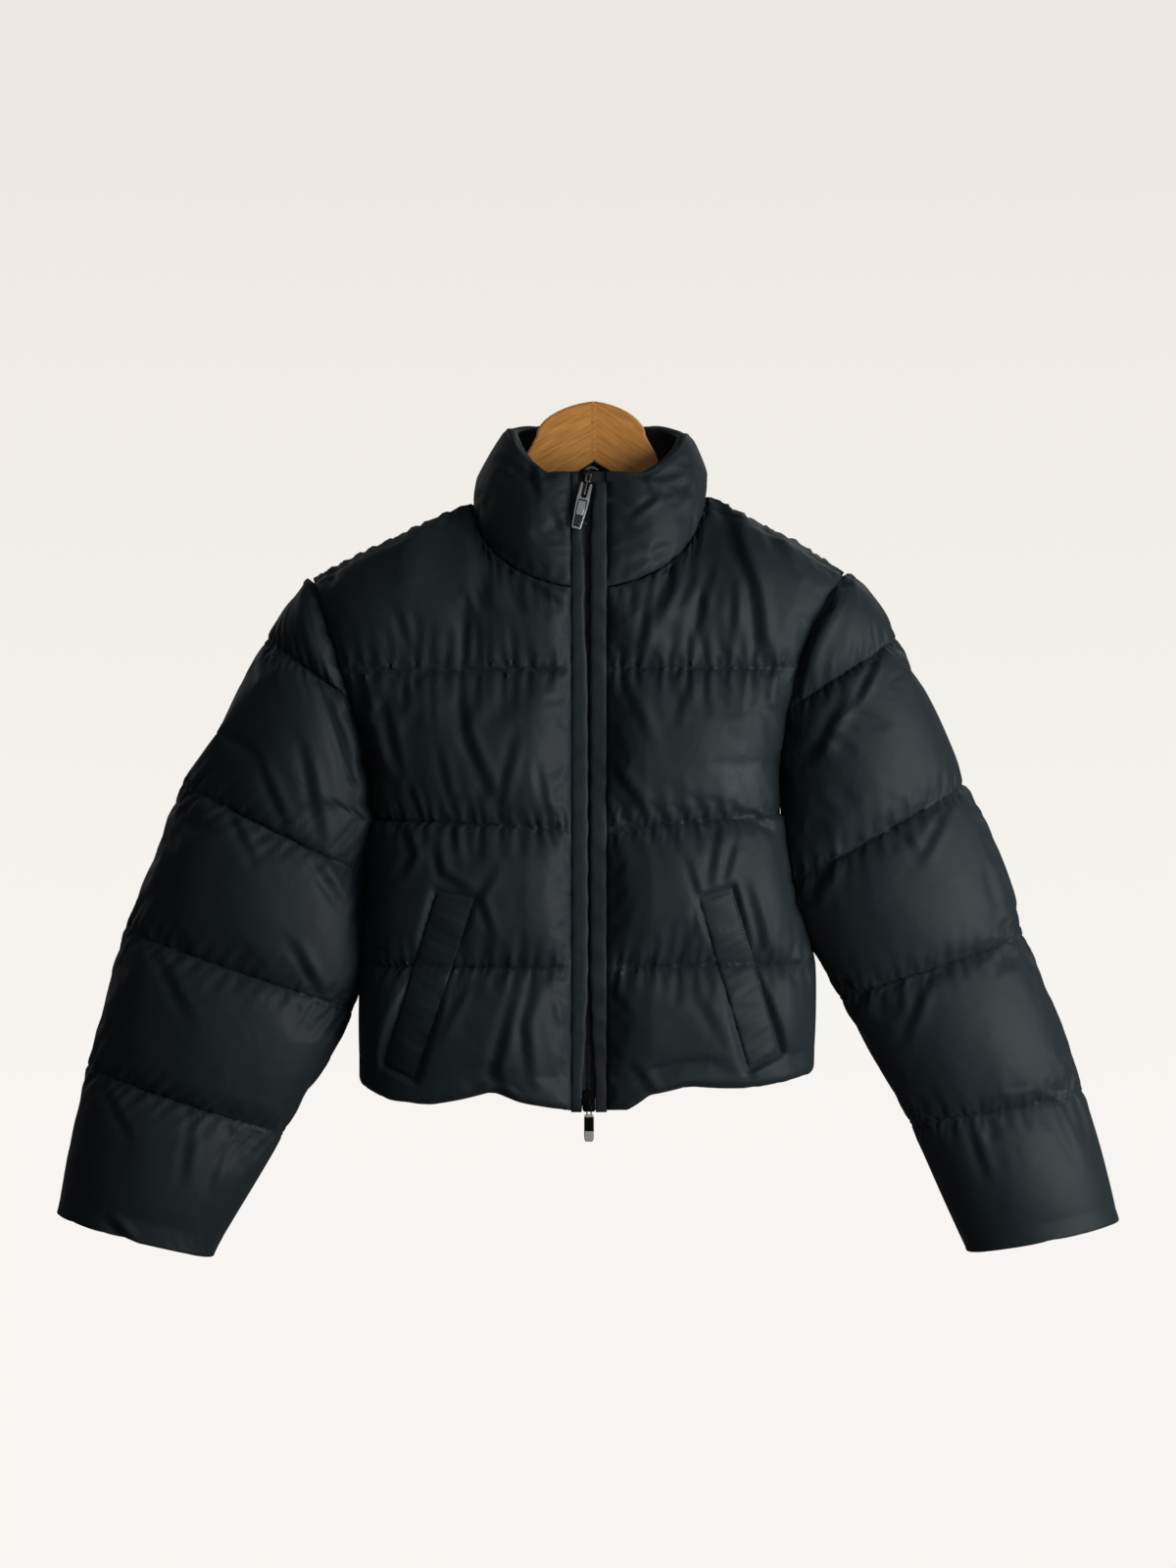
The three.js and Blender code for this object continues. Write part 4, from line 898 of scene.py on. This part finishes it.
def stitches(name, routes, pitch=3.4, length=2.3, thick=0.55):
    """Thread: a short flat-ended bar for every stitch along each route of points."""
    bars, faces = [], []
    for route in routes:
        route = np.array(route, float)
        run = np.concatenate([[0], np.cumsum(np.linalg.norm(np.diff(route, axis=0), axis=1))])
        starts = np.arange(pitch / 2, run[-1] - length, pitch)
        at = lambda d: np.stack([np.interp(d, run, route[:, k]) for k in range(3)], -1)
        a, b = at(starts), at(starts + length)
        ahead = (b - a) / np.maximum(1e-9, np.linalg.norm(b - a, axis=1, keepdims=True))
        up = np.cross(ahead, np.array([0, 1, 0]))
        up /= np.maximum(1e-9, np.linalg.norm(up, axis=1, keepdims=True))
        out = np.cross(up, ahead)
        half = thick / 2
        ring = [(up * c + out * d) * half for c, d in ((1, 0), (0, 1), (-1, 0), (0, -1))]
        for k in range(len(a)):
            first = len(bars)
            bars += [a[k] + r[k] for r in ring] + [b[k] + r[k] for r in ring]
            faces += [[first + j, first + (j + 1) % 4, first + 4 + (j + 1) % 4, first + 4 + j] for j in range(4)]
            faces += [[first + j for j in (3, 2, 1, 0)], [first + 4 + j for j in range(4)]]
    obj, _ = mesh_object(name, np.array(bars), faces, thread)
    obj.data.shade_smooth()
    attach(obj, "jacket")
    return obj


for side in SIDES:
    base = lambda x, z: welt_base(side, x, z)
    welt, top = strip("pocket_welt_" + side + "_cloth", WELT[side], base, 74, 17, 1.9, taffeta)
    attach(welt, "jacket")
    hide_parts("pocket_welt_" + side)
    lift = np.array([0, -0.1, 0])
    stitches("pocket_thread_" + side, [top[2:-2, 1] + lift, top[2:-2, -2] + lift, top[2, 1:-1] + lift, top[-3, 1:-1] + lift])

# %% [markdown]
# ## Zip
# Two guard strips of the shell cloth lie over the tapes, and part where the teeth show.

# %% Guard strips
GUARD_Z = [-64, -78, -92, -120, -150, -190, -240, -330, -500, -555, -588, -612]
GUARD_EDGE = {
    "right": [9.6, 9, 8, 6, 3.5, 4.2, 1.2, 0.8, 0.8, 3.2, 5.6, 6],
    "left": [5.2, 5, 2.8, 1.2, 1, 1, 0.8, 0.8, 0.8, 3, 5, 5.4],
}
GUARD_TOP = {"right": -64, "left": -73}
for side, mark in SIDES.items():
    z = np.linspace(GUARD_TOP[side], -612, 270)
    run = GUARD_TOP[side] - z
    inner = falling(GUARD_Z, GUARD_EDGE[side], z) + 0.5 * wave(run + 20, 26)
    outer_edge = 15.4 + 0.3 * wave(run + 10, 24)
    turns = np.linspace(0, 2 * np.pi, 22, endpoint=False)
    middle, half = (inner + outer_edge)[:, None] / 2, (outer_edge - inner)[:, None] / 2
    cos, sin = np.cos(turns), np.sin(turns)
    x = middle + half * np.sign(cos) * np.abs(cos) ** 0.6
    share = (x - inner[:, None]) / (2 * half)
    front = np.clip(sin, 0, 1) ** 0.6
    pucker = 0.16 * wave(run[:, None] + 2.5 * share + 33, 8) + 0.7 * wave(run[:, None] - 5 * share + 50, 30)
    y = zip_line(z)[:, None] - np.where(sin > 0, 2.6 + (2.9 + pucker) * front, 2.6 + 1.6 * sin)
    ends = np.clip(np.minimum(run, run[-1] - run) / 3, 0.3, 1)[:, None]
    y = mix(zip_line(z)[:, None] - 3, y, ends)
    grid = np.stack([mark * x, y, np.broadcast_to(z[:, None], x.shape)], -1)
    index = np.arange(grid.shape[0] * 22).reshape(-1, 22)
    faces = [list(q) for q in quads(np.concatenate([index, index[:, :1]], 1))] + [list(index[0]), list(index[-1, ::-1])]
    guard, _ = mesh_object("zip_guard_" + side + "_cloth", grid, faces, taffeta)
    tidy(guard)
    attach(guard, "jacket")
    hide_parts("zip_guard_" + side)
    column = int(np.argmin(np.abs(turns - 0.28)))
    stitches("guard_thread_" + side, [grid[2:-2, column] + np.array([0, -0.15, 0])], 3.2, 2.1)

# %% Teeth
TOOTH = np.array([(x, y, z) for x in (-1, 1) for y in (-1, 1) for z in (-1, 1)], float)
BOX_FACES = [(0, 1, 3, 2), (4, 6, 7, 5), (0, 4, 5, 1), (2, 3, 7, 6), (0, 2, 6, 4), (1, 5, 7, 3)]
pitch = 1.45
heights = np.arange(-66, -604, -pitch)
points, faces = [], []
for k, z in enumerate(heights):
    mark = 1 if k % 2 else -1
    corners = TOOTH * (2.3, 1.25, 0.52) + (mark * 0.95, 0, 0)
    corners[:, 2] *= np.where(corners[:, 0] * mark < 0, 0.75, 1.15)
    points.append(corners + (0, zip_line(z) - 0.9, z))
    faces += [[8 * k + i for i in face] for face in BOX_FACES]
teeth, _ = mesh_object("zip_teeth", np.concatenate(points), faces, moulded)
bevel = teeth.modifiers.new("rounding", "BEVEL")
bevel.width, bevel.segments = 0.22 * MM, 1
tidy(teeth)
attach(teeth, "jacket")
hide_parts("zip_chain")
for side in SIDES:
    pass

# %% The tapes' beaded edges behind the teeth
z = np.linspace(-64.5, -605, 200)
edge = [(-2.6, 0.9), (-2.6, -0.1), (2.6, -0.1), (2.6, 0.9)]
bead = np.stack([np.stack([np.full_like(z, x), zip_line(z) + y, z], -1) for x, y in edge + edge[:1]], 1)
index = np.arange(len(z) * 5).reshape(-1, 5)
beads, _ = mesh_object("zip_beads", bead, quads(index).tolist() + [list(index[0]), list(index[-1, ::-1])], tape_cloth)
tidy(beads)
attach(beads, "jacket")

# %% [markdown]
# ## Sliders, pull tabs and the glue line
# A slider is cast, black and gloss, and a thin gunmetal strip on the lower slider's nose is a painted highlight. The
# upper tab is a fork that hangs on a small link: a bright rim round a dark groove, a plain plaque and a dark inset. The
# lower tab is black between bright ends.

# %% Plates and pins
def slab(outline, back, front):
    """A flat plate with this outline in X and Z, between two depths."""
    n = len(outline)
    points = np.array([(x, y, z) for y in (back, front) for x, z in outline], float)
    faces = [list(range(n)), list(range(2 * n - 1, n - 1, -1))]
    return points, faces + [[k, n + k, n + (k + 1) % n, (k + 1) % n] for k in range(n)]


def block(x0, x1, z0, z1, back, front):
    return slab([(x0, z0), (x1, z0), (x1, z1), (x0, z1)], back, front)


def pin(a, b, radius, sides=12):
    """A round bar between two points."""
    a, b = np.array(a, float), np.array(b, float)
    ahead = (b - a) / np.linalg.norm(b - a)
    up = np.cross(ahead, (0.2, 0.5, 0.8))
    up /= np.linalg.norm(up)
    turns = 2 * np.pi * np.arange(sides)[:, None] / sides
    ring = radius * (np.cos(turns) * up + np.sin(turns) * np.cross(ahead, up))
    faces = [list(range(sides)), list(range(2 * sides - 1, sides - 1, -1))]
    faces += [[k, sides + k, sides + (k + 1) % sides, (k + 1) % sides] for k in range(sides)]
    return np.concatenate([a + ring, b + ring]), faces


def assembly(name, parts, origin, body, turn=np.eye(3), rounding=0.22):
    """Parts with a material each, joined in one object that rides on a body of the frame."""
    points, faces, kinds, materials = [], [], [], []
    for (corners, sides), kind in parts:
        first = sum(len(p) for p in points)
        points.append(np.array(corners) @ turn.T + origin)
        faces += [[first + k for k in face] for face in sides]
        if kind not in materials:
            materials.append(kind)
        kinds += [materials.index(kind)] * len(sides)
    obj, _ = mesh_object(name, np.concatenate(points), faces)
    for kind in materials:
        obj.data.materials.append(kind)
    obj.data.polygons.foreach_set("material_index", kinds)
    tidy(obj, 35)
    bevel = obj.modifiers.new("rounding", "BEVEL")
    bevel.width, bevel.segments, bevel.limit_method = rounding * MM, 2, "ANGLE"
    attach(obj, body)
    return obj


# %% Upper pull tab
TOP_PIVOT, BOTTOM_PIVOT = np.array([0, -51.805, -67.147]), np.array([0, -57.798, -606.182])
HANG, LEAN = 0.26, math.radians(13)
FORK = [(-4.9, -8.2), (-3.9, -7.6), (-2.9, -8.2), (-2.4, -19.8), (-1.6, -21.4), (1.6, -21.4), (2.4, -19.8), (2.9, -8.2)]
FORK += [(3.9, -7.6), (4.9, -8.2), (5.5, -22), (5.3, -30), (4.0, -48.2), (3.2, -49.8), (-3.2, -49.8), (-4.0, -48.2)]
FORK += [(-5.3, -30), (-5.5, -22)]
GROOVE = [(-3.9, -23.6), (-3.2, -22.8), (3.2, -22.8), (3.9, -23.6), (4.1, -29.5), (3.0, -48), (-3.0, -48), (-4.1, -29.5)]
PLAQUE = [(-3.1, -24.2), (3.1, -24.2), (3.3, -29.5), (2.9, -37.4), (-2.9, -37.4), (-3.3, -29.5)]
INSET = [(-2.8, -38.4), (2.8, -38.4), (2.4, -46.8), (-2.4, -46.8)]
swing = np.array([[1, 0, 0], [0, math.cos(HANG), math.sin(HANG)], [0, -math.sin(HANG), math.cos(HANG)]])
tip = np.array([[math.cos(LEAN), 0, math.sin(LEAN)], [0, 1, 0], [-math.sin(LEAN), 0, math.cos(LEAN)]])
link = [block(-2.2, 2.2, -0.1, 0.9, 0.6, -0.6), block(-2.2, -1.3, -5.6, -0.1, 0.6, -0.6)]
link += [block(1.3, 2.2, -5.6, -0.1, 0.6, -0.6), block(-2.2, 2.2, -6.6, -5.6, 0.6, -0.6)]
link += [block(-0.45, 0.45, -18.6, -6.6, 0.45, -0.45)]
parts = [(piece, gunmetal_and_painted_highlight) for piece in link]
parts += [(pin((-2.7, 0, -19.4), (2.7, 0, -19.4), 1.0), gloss_black), (slab(FORK, 0.9, -0.65), nickel)]
parts += [(slab(GROOVE, 0.2, -0.72), gloss_black), (slab(PLAQUE, 0.2, -0.95), nickel), (slab(INSET, 0.2, -0.9), moulded)]
tab = assembly("pull_top_tab", parts, TOP_PIVOT, "top_pull", swing @ tip)
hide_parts("pull_top")

# %% Lower pull tab and the upper slider's crown
ENDS = [(3.3, -7.2), (3.8, -9), (3.8, -24), (3.5, -28.2), (2.6, -30), (-2.6, -30), (-3.5, -28.2), (-3.8, -24)]
ENDS += [(-3.8, -9), (-3.3, -7.2)]
loop = [block(-2.3, 2.3, -0.1, 0.9, 0.7, -0.7), block(-2.3, -1.2, -9.2, -0.1, 0.7, -0.7), block(1.2, 2.3, -9.2, -0.1, 0.7, -0.7)]
parts = [(piece, gloss_black) for piece in loop]
parts += [(slab([(1.1 * x, z - 0.5) for x, z in ENDS], 0.9, -0.1), gloss_black), (slab(ENDS, 0.5, -0.75), polished), (block(-3.9, 3.9, -21.6, -9.6, 0.9, -0.95), gloss_black)]
tab = assembly("pull_bottom_tab", parts, BOTTOM_PIVOT, "bottom_pull")
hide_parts("pull_bottom")
nose = [(-5.6, 0), (5.6, 0), (5.6, -10), (4.4, -12), (-4.4, -12), (-5.6, -10)]
# The thin gunmetal strip down the front of the nose is a painted highlight, not a part of the slider.
nose = [(slab(nose, 5.6, -0.4), gloss_black), (block(0.2, 0.9, -10.6, -1.5, 0, -0.6), gunmetal_and_painted_highlight)]
assembly("slider_nose", nose, (0, float(zip_line(-606)) - 5.6, -599.5), "jacket", rounding=0.6)
arch = [(-5.2, -1.6), (-3.4, 1.2), (0, 2.6), (3.6, 1.8), (6.2, -1.4), (3.2, -0.6), (0, 0.2), (-2.6, -0.8)]
crown = [(slab(arch, 2.2, -1.4), gunmetal_and_painted_highlight)]
assembly("slider_crown", crown, (1.6, float(zip_line(-62)) - 9.8, -62.2), "jacket", rounding=0.5)
for name in ("slider_top", "slider_bottom"):
    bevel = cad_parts[name].modifiers.new("rounding", "BEVEL")
    bevel.width, bevel.segments = 0.35 * MM, 2

# %% Glue line of the hanger
seam = [(block(1.6, 3.92, -50.4, -1.1, 6.49, -6.49), beech_left), (block(4.08, 6.4, -50.4, -1.1, 6.49, -6.49), beech)]
seam += [(block(3.9, 4.1, -50.8, -0.9, 6.48, -6.48), glue)]
assembly("hanger_glue", seam, (0, 0, 0), "jacket", rounding=0.02)

# %% [markdown]
# ## Closed padded walls
# The filled outer cloth, the lip and the plain inside are joined into one closed piece for each panel.

# %% Build the quilted pieces
def closed_wall(name, inner, soft, extra, material, inside):
    outer = soft["grid"]
    columns = outer.shape[1]
    points = np.concatenate([outer, inner])
    joined = soft["joined"]
    index = np.arange(points.shape[0] * columns).reshape(points.shape[0], columns)
    if joined:
        index[:joined, -1] = index[:joined, 0]
        first = len(outer)
        index[first : first + joined - extra, -1] = index[first : first + joined - extra, 0]
    skin, plain = index[: len(outer)], index[len(outer) :]
    faces = [list(q) for q in quads(skin)]
    outside = len(faces)
    faces += [list(q[::-1]) for q in quads(plain)]
    faces += [[plain[0, j], skin[0, j], skin[0, j + 1], plain[0, j + 1]] for j in range(columns - 1)]
    top = [[skin[-1, j], plain[-1, j], plain[-1, j + 1], skin[-1, j + 1]] for j in range(columns - 1)]
    faces += top
    for k, turned in ((0, False), (-1, True)):
        rows = range(max(0, joined - extra), len(plain) - 1)
        for i in rows:
            face = [skin[extra + i, k], plain[i, k], plain[i + 1, k], skin[extra + i + 1, k]]
            faces.append(face[::-1] if turned else face)
        if not joined:
            face = [plain[0, k]] + [skin[i, k] for i in range(extra + 1)]
            faces.append(face[::-1] if turned else face)
    obj, _ = mesh_object(name, points, faces, material)
    obj.data.materials.append(inside)
    return obj, outside


PIECES = {}
for name, (inner, outer, lip, lines, joined) in GRIDS.items():
    soft = SOFT[name]
    soft["grid"] = soft["grid"][1:]
    soft["joined"] = max(0, soft["joined"] - 1)
    obj, outside = closed_wall(name + "_cloth", inner, soft, len(lip) - 1, taffeta, lining)
    tidy(obj, 75)
    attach(obj, "jacket")
    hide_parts(name)
    PIECES[name] = obj
    print(obj.name, len(obj.data.polygons), "faces")

# %% [markdown]
# ## Light, backdrop and camera
# A bowl of pale cream paper stands far behind and under the jacket. A large soft lamp from the upper
# right models the cloth, and weaker ones fill the rest.

# %% Stage
paper = material("cream paper", "#000000", 1.0, Specular_IOR_Level=0.0)
height = add_node(paper, "SeparateXYZ", Vector=add_node(paper, "NewGeometry").outputs["Position"])
fade = add_node(paper, "MapRange", {"From Min": -1.25, "From Max": 1.5}, Value=height.outputs["Z"])
ramp = add_node(paper, "ValToRGB", Fac=fade.outputs["Result"])
ramp.color_ramp.elements[0].color = linear("#F8F5F2")
ramp.color_ramp.elements[1].color = linear("#EDE8E2")
output_of(paper, ramp, "Color", "Emission Color")
paper.node_tree.nodes["Principled BSDF"].inputs["Emission Strength"].default_value = 1.0
turns = np.linspace(0, 2 * np.pi, 97)
profile = [(0, -1.25), (5, -1.25), (6.5, -1.1), (7.6, -0.6), (8.3, 0.3), (8.5, 1.5), (8.5, 6)]
bowl = np.array([[(r * math.cos(a) * 1000, r * math.sin(a) * 1000, z * 1000) for a in turns] for r, z in profile])
backdrop, _ = mesh_object("backdrop", bowl, [list(q) for q in quads(np.arange(bowl.shape[0] * 97).reshape(-1, 97))], paper)
backdrop.data.shade_smooth()
backdrop.visible_diffuse = backdrop.visible_glossy = backdrop.visible_shadow = False


def lamp(name, where, size, power, colour="#FFFFFF"):
    data = bpy.data.lights.new(name, "AREA")
    data.shape, data.size, data.energy = "DISK", size, power
    data.color = linear(colour)[:3]
    obj = bpy.data.objects.new(name, data)
    bpy.context.scene.collection.objects.link(obj)
    obj.location = where
    obj.rotation_euler = (Vector((0, 0, -0.35)) - Vector(where)).to_track_quat("-Z", "Y").to_euler()


lamp("key", (1.3, -1.0, -0.35), 1.3, 24)
lamp("fill", (0.6, -3.0, 1.6), 3.0, 7)
lamp("rim", (1.8, 2.4, 2.0), 2.0, 16)
lamp("rim_left", (-2.2, 2.2, 1.2), 2.0, 8)
world = bpy.data.worlds.new("studio")
bpy.context.scene.world = world
world.use_nodes = True
world.node_tree.nodes["Background"].inputs["Color"].default_value = linear("#EEF1F4")
world.node_tree.nodes["Background"].inputs["Strength"].default_value = 0.06

camera = bpy.data.cameras.new("camera")
camera.sensor_width, camera.lens = 36, 92.6
eye = bpy.data.objects.new("camera", camera)
bpy.context.scene.collection.objects.link(eye)
eye.location = (-0.00085, -3.5, -0.3315)
eye.rotation_euler = (math.pi / 2, 0, 0)
bpy.context.scene.camera = eye
bpy.context.scene.view_settings.view_transform = "Standard"
